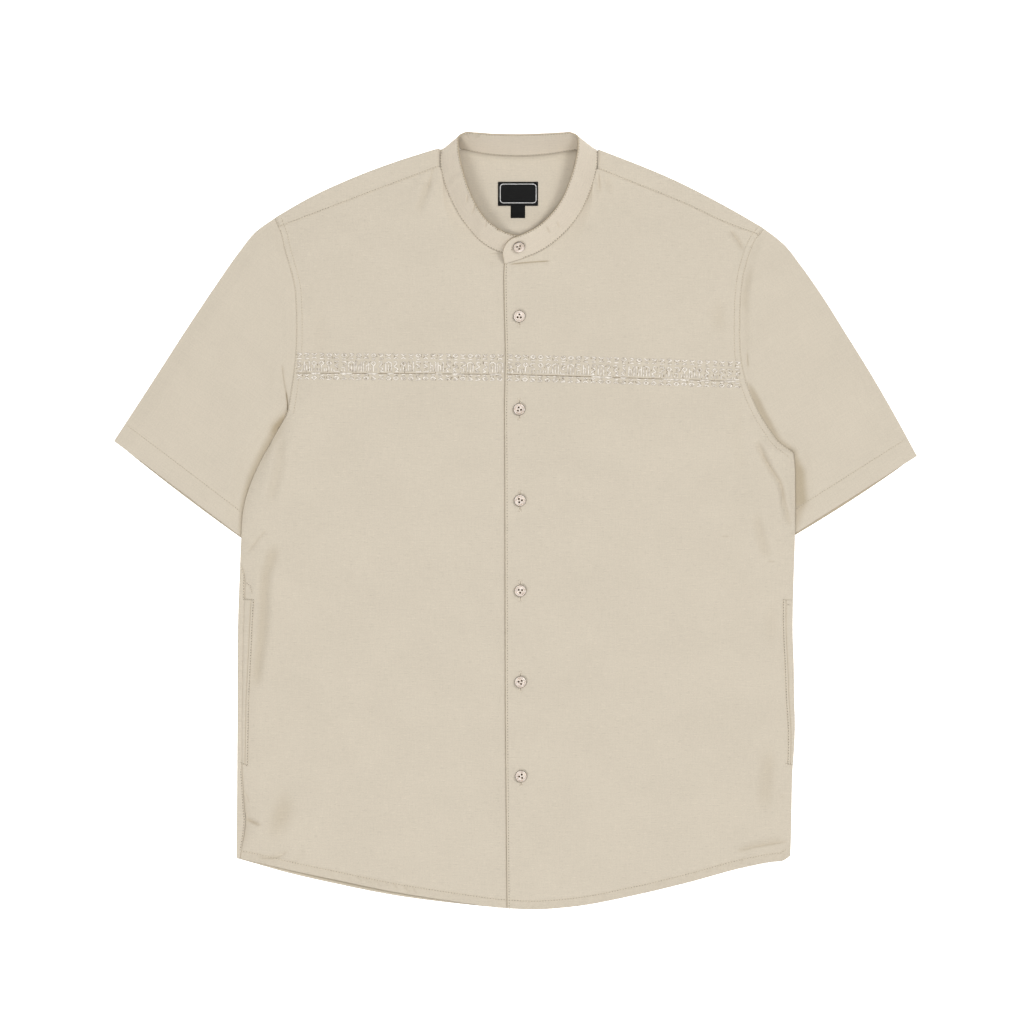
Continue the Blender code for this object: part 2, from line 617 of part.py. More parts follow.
def add_label(name, centre, size, material):
    """A flat label that lies on the inside of the yoke."""
    bpy.ops.mesh.primitive_cube_add(size=1.0)
    label = bpy.context.object
    label.name = name
    label.data.name = name
    height = WALL + GAP + LABEL_WALL / 2
    label.scale = (size[0] * MM, size[1] * MM, LABEL_WALL * MM)
    label.location = (centre[0] * MM, centre[1] * MM, height * MM)
    bpy.context.view_layer.update()
    label.data.transform(label.matrix_world)
    label.matrix_world = Matrix.Identity(4)
    label.data.materials.append(material)
    bevel = label.modifiers.new("soft corners", "BEVEL")
    bevel.width = LABEL_BEVEL * MM
    bevel.segments = 1


def ring(work, radius, height, count, centre=(0.0, 0.0)):
    """A ring of vertices and its edges."""
    turns = [2 * math.pi * i / count for i in range(count)]
    verts = [work.verts.new(((centre[0] + radius * math.cos(turn)) * MM,
                             (centre[1] + radius * math.sin(turn)) * MM, height * MM)) for turn in turns]
    edges = [work.edges.new((verts[i], verts[(i + 1) % count])) for i in range(count)]
    return verts, edges


def join_rings(work, lower, upper):
    """Faces between two rings of the same count."""
    count = len(lower)
    for i in range(count):
        j = (i + 1) % count
        work.faces.new((lower[i], lower[j], upper[j], upper[i]))


def button_mesh():
    """A turned button: rounded rim, sunk middle and three holes right through."""
    work = bmesh.new()
    rings = [ring(work, radius, height, BUTTON_SEGMENTS) for radius, height in BUTTON_PROFILE]
    for (lower, _), (upper, _) in zip(rings, rings[1:]):
        join_rings(work, lower, upper)
    underside = list(rings[0][1])
    middle = list(rings[-1][1])
    for centre in BUTTON_HOLES:
        (below, below_edges), (above, above_edges) = [
            ring(work, BUTTON_HOLE_RADIUS, height, BUTTON_HOLE_SIDES, centre)
            for height in (BUTTON_PROFILE[0][1], BUTTON_PROFILE[-1][1])]
        join_rings(work, below, above)
        underside += below_edges
        middle += above_edges
    bmesh.ops.triangle_fill(work, use_beauty=True, edges=underside)
    bmesh.ops.triangle_fill(work, use_beauty=True, edges=middle)
    bmesh.ops.recalc_face_normals(work, faces=work.faces)
    mesh = bpy.data.meshes.new("button")
    work.to_mesh(mesh)
    work.free()
    mesh.shade_smooth()
    mesh.set_sharp_from_angle(angle=math.radians(BUTTON_SHARP_ANGLE))
    return mesh


def add_buttons(material):
    """Seven buttons: one on the band's upper end and six down the upper front."""
    mesh = button_mesh()
    mesh.materials.append(material)
    share = share_where(BAND, 0, COLLAR_BUTTON_X, start=BAND_BUTTON_START)
    near = share + COLLAR_BUTTON_SPAN * np.array([-1.0, 0.0, 1.0])
    foot, top = band_frames(near)
    points = foot + (top - foot) * COLLAR_BUTTON_SHARE
    along = points[2] - points[0]
    up = top[1] - foot[1]
    along /= np.linalg.norm(along)
    normal = np.cross(up, along)
    normal /= np.linalg.norm(normal)
    if normal[2] < 0:
        normal = -normal
    side = np.cross(np.array([0.0, 1.0, 0.0]), normal)
    side /= np.linalg.norm(side)
    turn = Matrix([side, np.cross(normal, side), normal]).transposed().to_4x4()
    seat = points[1] + normal * (BAND_WALL / 2 + COLLAR_BUTTON_CLEARANCE)
    places = [Matrix.Translation(seat * MM) @ turn]
    rest = FRONT_HEIGHT + LAYER + WALL / 2 + GAP
    places += [Matrix.Translation((x * MM, y * MM, rest * MM)) for x, y in BUTTON_PLACES]
    for number, place in enumerate(places, start=1):
        button = bpy.data.objects.new(f"button_{number}", mesh)
        button.matrix_world = place
        bpy.context.scene.collection.objects.link(button)


def main():
    """Build the shirt."""
    for item in list(bpy.data.objects):
        bpy.data.objects.remove(item, do_unlink=True)
    cloth = plain_material("beige slub cotton", (0.69, 0.61, 0.50), 0.9)
    black = plain_material("black woven label", (0.012, 0.012, 0.012), 0.8)
    pearl = plain_material("cream resin button", (0.80, 0.74, 0.66), 0.3)

    arms = [armhole_points(ARMHOLE_LEFT, FORWARD_SEAM_LEFT),
            armhole_points(ARMHOLE_RIGHT, FORWARD_SEAM_RIGHT)]
    sides = [side_points(SIDE_LEFT), side_points(SIDE_RIGHT)]
    lips = [lip_widths(LIP_LEFT), lip_widths(LIP_RIGHT)]
    shoulder_shares = np.array(SHOULDER_COLUMNS) / SHOULDER_COLUMNS[-1]
    forwards = [smooth(FORWARD_SEAM_LEFT, shoulder_shares), smooth(FORWARD_SEAM_RIGHT, shoulder_shares)]
    neck_shares = np.array([SHOULDER_COLUMNS[-1]] + NECK_COLUMNS) - SHOULDER_COLUMNS[-1]
    neck_shares = neck_shares / neck_shares[-1]

    left_start = share_where(BAND, 1, forwards[0][-1][1], end=BAND_LEFT_END)
    right_start = share_where(BAND, 1, forwards[1][-1][1], start=BAND_RIGHT_START)
    neck_left = neck_edge(left_start, 0.0, forwards[0][-1], neck_shares)
    neck_right = neck_edge(right_start, 1.0, forwards[1][-1], neck_shares)

    under = front_panel(arms[0], sides[0], lips[0], forwards[0], neck_left, UNDER_EDGE, 1,
                        FOLDS_UNDER, over=False)
    over = front_panel(arms[1], sides[1], lips[1], forwards[1], neck_right, OVER_EDGE, -1,
                       FOLDS_OVER, over=True)
    add_cloth("back_panel", back_panel(arms, sides, lips), WALL, cloth)
    add_cloth("yoke", yoke(arms, (SHOULDER_LEFT, SHOULDER_RIGHT), forwards), WALL, cloth)
    add_cloth("front_under", [under], WALL, cloth)
    add_cloth("front_over", [over], WALL, cloth)
    add_cloth("sleeve_left", sleeve(arms[0], SLEEVE_FOLD_LEFT, UNDERARM_LEFT, SLEEVE_HEM_END_LEFT, 1,
                                    FOLDS_SLEEVE_LEFT), WALL, cloth)
    add_cloth("sleeve_right", sleeve(arms[1], SLEEVE_FOLD_RIGHT, UNDERARM_RIGHT, SLEEVE_HEM_END_RIGHT, -1,
                                     FOLDS_SLEEVE_RIGHT), WALL, cloth)
    add_cloth("collar_band", collar_band(), BAND_WALL, cloth)
    add_cloth("pocket_welt_left", pocket_welt(under), WALL, cloth)
    add_cloth("pocket_welt_right", pocket_welt(over), WALL, cloth)
    add_label("neck_label", LABEL_CENTRE, LABEL_SIZE, black)
    add_label("size_tab", TAB_CENTRE, TAB_SIZE, black)
    add_buttons(pearl)


main()
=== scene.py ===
import math

import bmesh
import bpy
import numpy as np
from mathutils import Matrix, Vector
from mathutils.bvhtree import BVHTree


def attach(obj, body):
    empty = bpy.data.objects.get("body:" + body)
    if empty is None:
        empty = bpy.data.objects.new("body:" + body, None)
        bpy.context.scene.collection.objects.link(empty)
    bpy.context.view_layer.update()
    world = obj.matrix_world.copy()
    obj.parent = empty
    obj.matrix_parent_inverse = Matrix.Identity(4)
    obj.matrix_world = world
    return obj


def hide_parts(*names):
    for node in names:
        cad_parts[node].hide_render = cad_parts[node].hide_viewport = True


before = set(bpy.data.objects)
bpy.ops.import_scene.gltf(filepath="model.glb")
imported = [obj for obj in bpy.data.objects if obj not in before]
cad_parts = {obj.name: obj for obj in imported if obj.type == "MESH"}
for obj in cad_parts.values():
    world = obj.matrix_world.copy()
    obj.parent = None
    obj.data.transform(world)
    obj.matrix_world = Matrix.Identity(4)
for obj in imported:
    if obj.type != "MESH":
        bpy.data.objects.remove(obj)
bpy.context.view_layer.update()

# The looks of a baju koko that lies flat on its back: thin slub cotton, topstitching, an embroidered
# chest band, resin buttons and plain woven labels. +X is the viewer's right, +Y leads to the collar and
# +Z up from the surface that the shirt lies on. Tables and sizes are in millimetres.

MM = 0.001
SEARCH_TREES = {}

# Sizes of the flat shirt

CLOTH = 0.5
BAND_CLOTH = 1.3
SHEET_GAP = 1.5
BACK_HEIGHT = 0.6
FRONT_HEIGHT = BACK_HEIGHT + SHEET_GAP
FOLD_RADIUS = SHEET_GAP / 2
SILHOUETTE_INSET = 1.1
FOLD_STEPS = 6
LOFT = 3.0
ARM_LOFT = 0.6
LOFT_REACH = 20.0
SLEEVE_LOFT_REACH = 11.0
ARM_REACH = 14.0
TUCK_LIFT = 4.8
EDGE_SAG = 1.5
EDGE_SAG_REACH = 4.5
TUCK_SLOPE = 40.0
FRONT_TUCK_SLOPE = 46.0
SLEEVE_TUCK_SLOPE = 15.0
OVERLAP_END_X = 21.0
OVERLAP_SLOPE = 26.0
MIDDLE_X = 5.0
MIDDLE_FLAT = 24.0
MIDDLE_SLOPE = 45.0
SEAM_TUCK = 0.9
NECK_BULGE = 9.0
NECK_BULGE_Y = 291.0
HEM_LIFT = 1.8
ROLL = 0.9
ROLL_WIDTH = 2.4
# Darkness of the painted shade along the placket's edge, the band's edges, the side seams and the hem
PLACKET_SHADE = 2.1
BAND_EDGE_SHADE = 1.0
SEAM_SHADE = 0.5
HEM_SHADE = 0.1
HIDDEN_SEAM = -0.75
POCKET_TOP_Y = -77.5
POCKET_BOTTOM_Y = -243.5
YOKE_SEAM_Y = 271.5
UNDER_FRONT_HEM_RISE = 4.0
UNDER_FRONT_HEM_RISE_END = 0.87
FRONT_TOP_REACH = 0.36
BACK_TOP_REACH = 0.3
HEM_REACH = 0.25
CORNER_BLEND = 12.0
CORNER_GAP = 1.5
EVEN_ROW_Y = -240.0
DEEPEST_CREASE = 0.8
LIP_SINK = 0.62
NARROWEST_LIP = 0.25
YOKE_STITCH = 1.6
YOKE_COLUMNS = 46
BAND_TALL = 27.0

# Outlines seen from above: x, y
SHOULDER_LEFT = [(-240.7, 303.8), (-205.5, 324), (-163.5, 343.3), (-121.5, 359.2), (-76.3, 373.6)]
SHOULDER_RIGHT = [(248.7, 293.1), (214.5, 312.8), (186.5, 327.8), (158.5, 341.6), (130.5, 353.6),
                  (102.5, 364.6), (83.2, 372)]
FORWARD_SEAM_LEFT = [(-237.4, 294), (-156, 325), (-75.9, 355.1)]
FORWARD_SEAM_RIGHT = [(243.2, 286.3), (215.2, 296.5), (165, 319.5), (117.5, 338.5), (82, 353)]
ARMHOLE_LEFT = [(-240.3, 302.4), (-234, 285.7), (-230.7, 271), (-226.7, 257.5), (-221.1, 235.5),
                (-219.4, 212), (-219.1, 189.9), (-219.8, 168), (-222, 146), (-227.5, 108.5)]
ARMHOLE_RIGHT = [(248, 291.8), (239.5, 280.5), (232.7, 263.5), (228.2, 246.5), (225.5, 226.5),
                 (224.6, 201.5), (224.5, 186.5), (225.8, 162.5), (230.6, 140), (237, 122),
                 (247.2, 102), (254.2, 91.5), (262.5, 80), (270.5, 73.8), (278, 68)]
SIDE_LEFT = [(-227.5, 108.5), (-239.5, 87.5), (-254.8, 59.9), (-265.5, 35.5), (-271.6, 14),
             (-274, -15), (-275.5, -46.5), (-277.5, -100), (-278, -190), (-278.5, -270),
             (-279, -336.5)]
SIDE_RIGHT = [(278, 68), (279.2, 52), (279.4, 30), (279.4, -10), (278.5, -46.5),
              (277.5, -85), (277.2, -107), (278.4, -145), (278.9, -180), (279.5, -205),
              (278.6, -228), (277, -250), (276.4, -272), (276, -292), (275.5, -318),
              (274.8, -334)]
HEM = [(-279, -336.5), (-261.5, -341.5), (-233.5, -349.5), (-177.5, -362.5), (-121.5, -373.5),
       (-65.5, -381), (-9.5, -386.3), (18.5, -387.5), (60.5, -384.5), (116.5, -374),
       (172.5, -360.7), (228.5, -345.7), (256.5, -340.2), (268, -338.8),
       (274.8, -334)]
UNDER_EDGE = [(18.5, -400), (18.5, 300)]
OVER_EDGE = [(-8.4, -400), (-10.2, -180), (-10.6, 40), (-11, 115), (-10, 165),
             (-12, 245), (-12, 300)]
SLEEVE_FOLD_LEFT = [(-240.7, 303.8), (-261.5, 288), (-275.5, 270.5), (-303.5, 230.5), (-331.5, 188.5),
                    (-359.5, 145), (-387.5, 102), (-401.5, 80.5)]
SLEEVE_FOLD_RIGHT = [(248.7, 293.1), (270.5, 275), (284.5, 257), (312.5, 216.5), (326.5, 194),
                     (354.5, 149), (382.5, 100.5), (401.5, 65.5)]
UNDERARM_LEFT = (-247, 62)
UNDERARM_RIGHT = (268, 30)
SLEEVE_HEM_END_LEFT = (-256, -29)
SLEEVE_HEM_END_RIGHT = (254, -27.9)
NECK_BACK = [(-75.9, 372), (-62, 372.6), (-50.5, 371.7), (-30, 368.2), (1.5, 366.1), (33, 367.8),
             (58, 371.4), (70, 372.4), (82.6, 370.9)]

# How far in front of the side fold each side seam shows: height in the plan, distance
LIP_LEFT = [(110, HIDDEN_SEAM), (-42, HIDDEN_SEAM), (-54, 4.1), (-77, 4.4), (-130, 4), (-180, 3.5),
            (-247, 3.2), (-268, 4.7), (-286, 5.8), (-298, 7.2), (-311, 6.1), (-325, 3.9),
            (-336, 2.2)]
LIP_RIGHT = [(110, HIDDEN_SEAM), (-400, HIDDEN_SEAM)]

# Convex regions in which a sleeve lies beneath the body
TUCKS = [
    [(-224, 118), (-262, 66), (-238, 58)],
    [(-266, 66), (-240, 60), (-242, -42), (-284, -14)],
    [(284, 62), (288, -12), (230, -46), (268, 58)],
]

# The collar band from its hidden end round the back to its visible end
BAND = [
    # foot x, foot y, foot height, top x, top y, rise
    (18.5, 269.5, 2.3, 18.5, 285, 8),
    (4.5, 267.2, 2.3, 5.5, 285.5, 10),
    (-10.5, 268.3, 2.3, -5, 286.6, 12.5),
    (-23, 272.6, 2.3, -15, 290.6, 14),
    (-35.5, 281, 2.3, -25.5, 298, 15),
    (-46.2, 292.7, 2.3, -34.8, 308, 16),
    (-55.7, 305.7, 2.3, -41.6, 320.5, 17),
    (-64.2, 321.5, 2.3, -47.3, 333.2, 18),
    (-70.2, 336.5, 2.3, -52, 348, 18.5),
    (-73.8, 351.5, 2.3, -55.2, 360.5, 19),
    (-74.8, 363, 2.3, -56.7, 371.5, 19),
    (-72.8, 371.3, 1.9, -56.6, 382.5, 19),
    (-64.5, 373.7, 1.3, -51, 387, 19),
    (-50.5, 371.9, 1, -40.5, 387.2, 19),
    (-30, 368, 1, -25.5, 386.2, 19),
    (1.5, 365.8, 1, 1.5, 385.5, 19),
    (33, 367.6, 1, 29.5, 386.2, 19),
    (58, 371.6, 1, 47, 387.2, 19),
    (73, 373.3, 1.3, 56, 387, 19),
    (80.8, 370.4, 2, 61.3, 383.5, 19),
    (81.6, 361.5, 2.3, 62.3, 374.5, 19),
    (80.3, 350, 2.3, 60.8, 364, 19),
    (77, 337.5, 2.3, 57.8, 351.5, 18.5),
    (71.7, 323, 2.3, 53.2, 337.5, 18),
    (64.3, 308, 2.3, 47.3, 323.5, 17),
    (55.2, 295.5, 2.5, 40, 312, 16.5),
    (43, 283.2, 3.2, 30.2, 301, 15.5),
    (29.6, 273.2, 4.2, 19.4, 292.6, 14.5),
    (16.2, 266.3, 4.4, 7.9, 286.8, 13.5),
    (4, 262.1, 4.4, -2.5, 282.8, 12.5),
    (-11.2, 257.6, 4.4, -15, 277.5, 12),
]
BAND_END_RADIUS = 16.0
BAND_DROP = 0.25
BAND_SEAM = 0.4

# Creases: the line they follow, half width, height (a trough is negative), lean, which lifts the cloth on
# the right of the line and lowers it on the left, and how dark the painted shade in the trough is
CREASES_UNDER = [
    ([(-234, 92), (-236.5, 56), (-242.5, 31), (-247.5, 14)], 5, -2, 0.3, 0.14),
    ([(-247, -6), (-258, -18), (-268.5, -33)], 2.6, -0.5, 0.15, 0.1),
    ([(-237, -18), (-250, -55.5), (-251.5, -84.5), (-253.8, -113.5), (-257.5, -142),
      (-260, -170)], 5, -2.6, 0.5, 0.34),
    ([(-223, -58), (-233, -110), (-240, -160)], 13, 1.2, 0, 0),
    ([(-227.5, -262), (-233.5, -292), (-247.5, -323)], 8.5, -2.6, 0.5, 0.36),
    ([(-270, -296), (-262, -300.5), (-252, -304)], 2.6, -0.9, 0.2, 0.14),
    ([(-259, -338), (-246, -336), (-234, -333), (-226, -327)], 2.6, -0.8, 0.3, 0.1),
    ([(-230, -341), (-216, -336), (-208, -322)], 2.6, -0.7, 0.3, 0.05),
    ([(-83.5, 347.5), (-90, 330), (-99.5, 304.5)], 3.4, -1.5, 0.4, 0.16),
    ([(-92, 349), (-101, 326)], 4.5, 0.8, 0, 0),
    ([(-60, 305), (-50, 288), (-36, 272)], 6, 0.5, 0, 0),
    ([(-34, 262), (-22, 258), (-13, 257)], 2.4, -0.5, 0.2, 0.06),
    ([(-180, 150), (-150, 60), (-160, -40)], 34, 0.9, 0, 0),
    ([(-70, 60), (-84, -60), (-76, -190)], 30, 0.7, 0, 0),
    ([(-150, -180), (-120, -260), (-130, -330)], 26, 0.9, 0, 0),
    ([(-205, 225), (-196, 190), (-198, 150)], 8, -0.8, 0, 0.06),
    ([(-276, -262), (-271, -300), (-274, -330)], 5, -0.6, 0, 0.22),
]
CREASES_OVER = [
    ([(240, 84), (247, 68), (256.5, 50.5), (264.5, 38.5), (268.5, 15), (272.5, 1.5),
      (275.5, -7)], 2.8, -2, -0.9, 0.24),
    ([(238, 14), (244, -10), (248, -26), (254, -42)], 4.4, -2, -0.5, 0.16),
    ([(222, 132), (221, 90), (228, 40)], 6, -0.9, 0, 0.06),
    ([(254, -76), (256.5, -100), (253.5, -128)], 6, -1.3, 0, 0.1),
    ([(254, -218), (251.5, -250), (247.5, -296)], 6.5, -2.2, -0.4, 0.2),
    ([(264, -272), (268.5, -278)], 4.5, -1, 0, 0.1),
    ([(218, -330), (242, -323.5), (273, -318)], 3.6, -1.2, 0.4, 0.16),
    ([(82, 352), (83.5, 324)], 3, -1, -0.4, 0.12),
    ([(88, 350), (92.5, 337), (97, 326)], 2.8, -1.2, -0.4, 0.12),
    ([(-5.5, 258), (14, 259.6), (38, 261)], 2.6, -0.6, 0, 0.08),
    ([(211, 294), (220.5, 282.5), (228, 268)], 2.6, -1.1, 0.4, 0.16),
    ([(205, 230), (202.5, 208), (204, 180)], 6.5, -1.5, 0, 0.16),
    ([(213, 234), (212, 204), (214, 176)], 7, 0.7, 0, 0),
    ([(150, 150), (120, 60), (134, -40)], 34, 0.9, 0, 0),
    ([(80, 10), (92, -100), (84, -210)], 30, 0.7, 0, 0),
    ([(170, -150), (196, -240), (180, -320)], 28, 0.9, 0, 0),
]
CREASES_SLEEVE_LEFT = [
    ([(-233, 160), (-231.5, 141.5), (-229, 125), (-227.6, 106)], 2.4, -0.4, 0, 0.08),
    ([(-240, 172), (-239, 140), (-238, 112)], 6, 1, 0, 0),
    ([(-227.5, 114), (-234, 101), (-240.5, 94), (-248, 84)], 4.2, -1.6, 0, 0.62),
    ([(-330, 150), (-290, 96), (-262, 30)], 26, 0.9, 0, 0),
]
CREASES_SLEEVE_RIGHT = [
    ([(236.5, 258), (232.8, 243), (229.8, 228), (228.8, 206)], 3.6, -0.5, 0, 0.26),
    ([(231, 222), (230, 196), (232, 164)], 3.6, -0.3, 0, 0.08),
    ([(242, 256), (239.5, 225), (239, 190), (241, 166)], 4.2, 0.6, 0, 0),
    ([(300, 190), (322, 110), (318, 50)], 28, 0.9, 0, 0),
]

# Thin pressed creases, for which the cloth's grid is cut finer: line, half width, height, lean, and darkness
# of the painted shade
THIN_UNDER = [
    ([(-27, 267.6), (-20, 268), (-13, 267.8)], 0.7, -0.5, 0.2, 0.2),
    ([(-248, -7), (-259, -20.5), (-268.5, -32.5)], 0.9, -0.35, 0.15, 0.16),
    ([(-271, -296), (-262, -300.5), (-253, -304.2)], 1.4, -0.9, 0.3, 0.45),
    ([(-160, -351.6), (-153, -361.6)], 1.3, -0.35, -0.4, 0.12),
    ([(-151, -353.5), (-144, -363.5)], 1.2, -0.25, -0.3, 0.09),
    ([(-141, -355.2), (-134.5, -365.6)], 1.4, -0.4, -0.45, 0.14),
    ([(-132, -357.6), (-125, -367.6)], 1.2, -0.3, -0.4, 0.1),
    ([(-123, -359), (-117, -369.4)], 1.3, -0.4, -0.5, 0.15),
    ([(-113, -361.7), (-106, -371.7)], 1.4, -0.45, -0.5, 0.16),
    ([(-103, -364), (-98, -373.4)], 1.2, -0.3, -0.35, 0.12),
    ([(-260, -335), (-245, -336.5), (-232, -333), (-227, -327.5)], 1, -0.4, 0.2, 0.16),
    ([(-272.5, -268), (-268, -276), (-266, -284)], 0.9, -0.5, 0.3, 0.2),
    ([(-82, 356), (-84.5, 344), (-89, 331)], 0.9, -0.5, 0.3, 0.2),
]
THIN_OVER = [
    ([(-7, 256.9), (10, 258.8), (35.5, 260.6)], 0.5, -0.7, -0.3, 1.4),
    ([(183, -346.5), (177.5, -355.5)], 1.3, -0.35, 0.4, 0.12),
    ([(194, -343), (188.5, -352.5)], 1.2, -0.3, 0.35, 0.09),
    ([(206.5, -339.5), (200, -349.5)], 1.4, -0.4, 0.45, 0.14),
    ([(217, -337), (212, -346.5)], 1.2, -0.3, 0.4, 0.1),
    ([(229, -334.5), (224, -343)], 1.3, -0.35, 0.4, 0.12),
    ([(204.5, -14.5), (214.5, -15.2)], 0.8, -0.4, 0.2, 0.25),
    ([(251, -39.5), (259.5, -40.2)], 0.8, -0.45, 0.2, 0.25),
    ([(213.5, 292), (222, 282), (228.5, 269.5)], 1.1, -0.6, 0.3, 0.2),
    ([(220, -329.5), (245, -324), (273.5, -319.5)], 1.1, -0.6, 0.3, 0.2),
    ([(83, 351), (83.8, 340), (84, 330)], 0.8, -0.4, -0.3, 0.2),
    ([(245.5, 70), (256, 51.5), (264.3, 39), (268.2, 17)], 1, -0.5, -0.3, 0.2),
]
THIN_SLEEVE_LEFT = [
    ([(-233.5, 158), (-231.5, 141.5), (-228.6, 125.5), (-227.2, 109)], 0.5, -0.5, 0.2, 0.5),
    ([(-229.6, 131), (-228.2, 122), (-227.2, 107.5)], 0.6, -0.6, 0.2, 1.5),
]
THIN_SLEEVE_RIGHT = [
    ([(231.1, 171), (232.5, 152)], 0.8, -0.7, 0.2, 0.5),
]

THIN_BAND = [
    ([(-48, 327.5), (-48.6, 317)], 1, -0.8, 0.4, 0.4),
    ([(-40.6, 319), (-41.2, 312.5), (-44, 305.5)], 0.9, -0.9, 0.5, 0.55),
    ([(-27.6, 302.6), (-28.8, 298), (-31.2, 292)], 0.9, -0.8, 0.4, 0.4),
    ([(-20.3, 296), (-16.8, 287.5)], 0.9, -0.8, 0.4, 0.4),
    ([(31, 295.5), (34.5, 286.5)], 0.9, -0.8, -0.4, 0.4),
    ([(41, 300.5), (44.2, 292.5)], 0.9, -0.7, -0.4, 0.35),
    ([(-50, 387.5), (-45.8, 381)], 0.9, -0.8, 0.4, 0.4),
    ([(-41.5, 381.5), (-34.5, 385)], 0.9, -0.8, 0.4, 0.35),
]

# Painted shade in the hollows beside an edge of the body, on the sleeve under it and on the body itself:
# height in the plan, darkness, width of the darkest part, and width over which it fades
PAINTED_SHADE_LEFT = [(130, 0, 0, 3), (112, 0.2, 0.5, 3), (97, 0.78, 1.5, 8), (82, 0.85, 0.8, 9),
               (56, 0.8, 0.8, 8.5), (32, 0.75, 0.8, 6.5), (10, 0.65, 0.5, 5), (-15, 0.55, 0.5, 4),
               (-30, 0, 0, 3)]
PAINTED_SHADE_RIGHT = [(142, 0, 0, 3), (133, 0.6, 3, 5), (121, 0.72, 4.5, 5), (101, 0.75, 4, 4.5),
                (81, 0.75, 0.6, 5.5), (66, 0.7, 0, 7), (58, 0.8, 2.5, 8), (51, 0.9, 5, 9),
                (31, 0.9, 6.5, 9), (20, 0.9, 8, 8), (10, 0.6, 3, 9), (-5, 0.4, 0.5, 7),
                (-14, 0.3, 0, 4)]
BODY_PAINTED_SHADE_LEFT = [(106, 0, 0, 4), (92, 0.3, 0, 7), (81, 0.35, 0, 7), (56, 0.2, 0, 6),
                    (31, 0.15, 0, 6), (0, 0.12, 0, 5), (-24, 0, 0, 4)]
BODY_PAINTED_SHADE_RIGHT = [(110, 0, 0, 4), (88, 0.18, 0, 6), (70, 0.2, 0, 6), (60, 0, 0, 4)]

# How far a sleeve lies below the edge of the armhole: height in the plan, distance
STEP_LEFT = [(160, 0.1), (130, 0.25), (102, 0.45), (84, 1.2)]
STEP_RIGHT = [(148, 0.1), (118, 0.5), (100, 0.7), (64, 1)]
CREASES_BAND = [
    # along the band in millimetres from its hidden end, half width, height
    (62, 5, -0.5),
    (74, 5, 0.5),
    (92, 7, -0.4),
    (121, 3, -0.6),
    (127, 4, 0.5),
    (206, 12, 0.3),
    (262, 6, -0.4),
    (324, 8, 0.4),
    (352, 5, -0.4),
]

# Distances from an edge at which a sheet of cloth has points, closest where it is sewn
SIDE_STEPS = [0, 0.4, 0.8, 1.3, 1.9, 2.6, 3.5, 4.5, 5.2, 5.6, 6, 6.4, 6.8, 7.5, 8.7, 10.5, 12.8]
PLACKET_STEPS = [0, 0.3, 0.7, 1.2, 1.6, 1.9, 2.2, 2.5, 2.9, 3.5, 4.5, 6, 8.2]
HEM_STEPS = [0, 0.4, 0.9, 1.6, 2.6, 3.8, 5.2, 6.5, 7.3, 7.7, 8.1, 8.5, 9, 9.8, 11.2, 13.2]
TOP_STEPS = [0, 0.4, 0.9, 1.5, 2.3, 3.4, 5, 7.2]
SLEEVE_HEM_STEPS = [0, 0.4, 0.9, 1.6, 2.8, 5, 8, 11.5, 15, 17.8, 19.2, 19.9, 20.4, 20.9, 21.6,
                    22.8, 24.6, 27]
PLAIN_STEPS = [0, 0.6, 1.4, 2.6]
ARM_STEPS = [0, 0.5, 1.1, 1.8, 2.6, 3.4, 4.2, 5.1, 6, 6.9, 7.8, 8.8, 9.8, 10.8, 11.8, 13, 14.6, 17]
FRONT_STEP = 2.5
BACK_STEP = 4.2
SLEEVE_STEP = 3.0
ARMHOLE_STITCH = 6.0
HEM_STITCH = 8.1
SLEEVE_HEM_STITCH = 20.4
PLACKET_STITCH = 2.2

# Sewing thread: one stitch's pitch, length, half width and half height
STITCH_PITCH = 2.8
STITCH_LENGTH = 2.7
STITCH_HALF_WIDTH = 0.38
STITCH_HALF_HEIGHT = 0.26
SEAM_STITCH = 0.8
SIDE_STITCHED_LEFT = [(-47, -79), (-247, -330)]
POCKET_BARS = [
    [(-271, -77.8), (-263, -77.6)],
    [(-269.5, -61.1), (-265.2, -64), (-262.5, -73.1)],
    [(-266.9, -244.5), (-276, -240.1)],
    [(269.5, -82.9), (275.6, -83.5)],
    [(269.5, -242), (275, -242)],
]
BAND_STITCH_HEIGHTS = (0.035, 0.962)

# Buttons: turned profile from the underside round the rim to the sunk middle, and three drilled holes
BUTTON_PROFILE = [(4.6, 0), (5.4, 0.15), (5.9, 0.6), (6, 1.2), (5.9, 1.75), (5.6, 2.2), (5.2, 2.4),
                  (4.8, 2.35), (4.4, 2.05), (3.9, 1.72), (3.3, 1.6)]
BUTTON_HOLES = [(0.1, 1.9), (-1.65, -0.85), (1.55, -1.05)]
BUTTON_HOLE_RADIUS = 1.05
BUTTON_RADIUS = 6.0
BUTTON_PLACES = [(3.8, 204.9), (3.7, 112.1), (4.5, 21), (4.8, -69.3), (5, -160.4), (5.5, -254.5)]
BUTTON_UNDERSIDE = 4.5
COLLAR_BUTTON_X = 7.0
COLLAR_BUTTON_HEIGHT = 0.57
COLLAR_BUTTON_SEAT = 0.7
COLLAR_BUTTONHOLE = (-1.2, 9.4)

# Buttonholes below the buttons: how far each reaches above and below the button's middle
BUTTONHOLES = [(6, 9.8), (10.6, 10.2), (9.8, 10.6), (10.4, 10), (10, 9.6), (6.4, 10.2)]
BUTTONHOLE_HALF_WIDTH = 1.5
BUTTONHOLE_SLIT = 0.4
BUTTONHOLE_PITCH = 0.55

# Labels: centre x, centre y, width, height
NECK_LABEL = (2.5, 327.5, 40, 24)
SIZE_TAB = (2.4, 310.2, 14.5, 14.2)
LABEL_CLOTH = 0.35
LABEL_BORDER = (2.7, 327.9, 35.9, 18.8, 3)

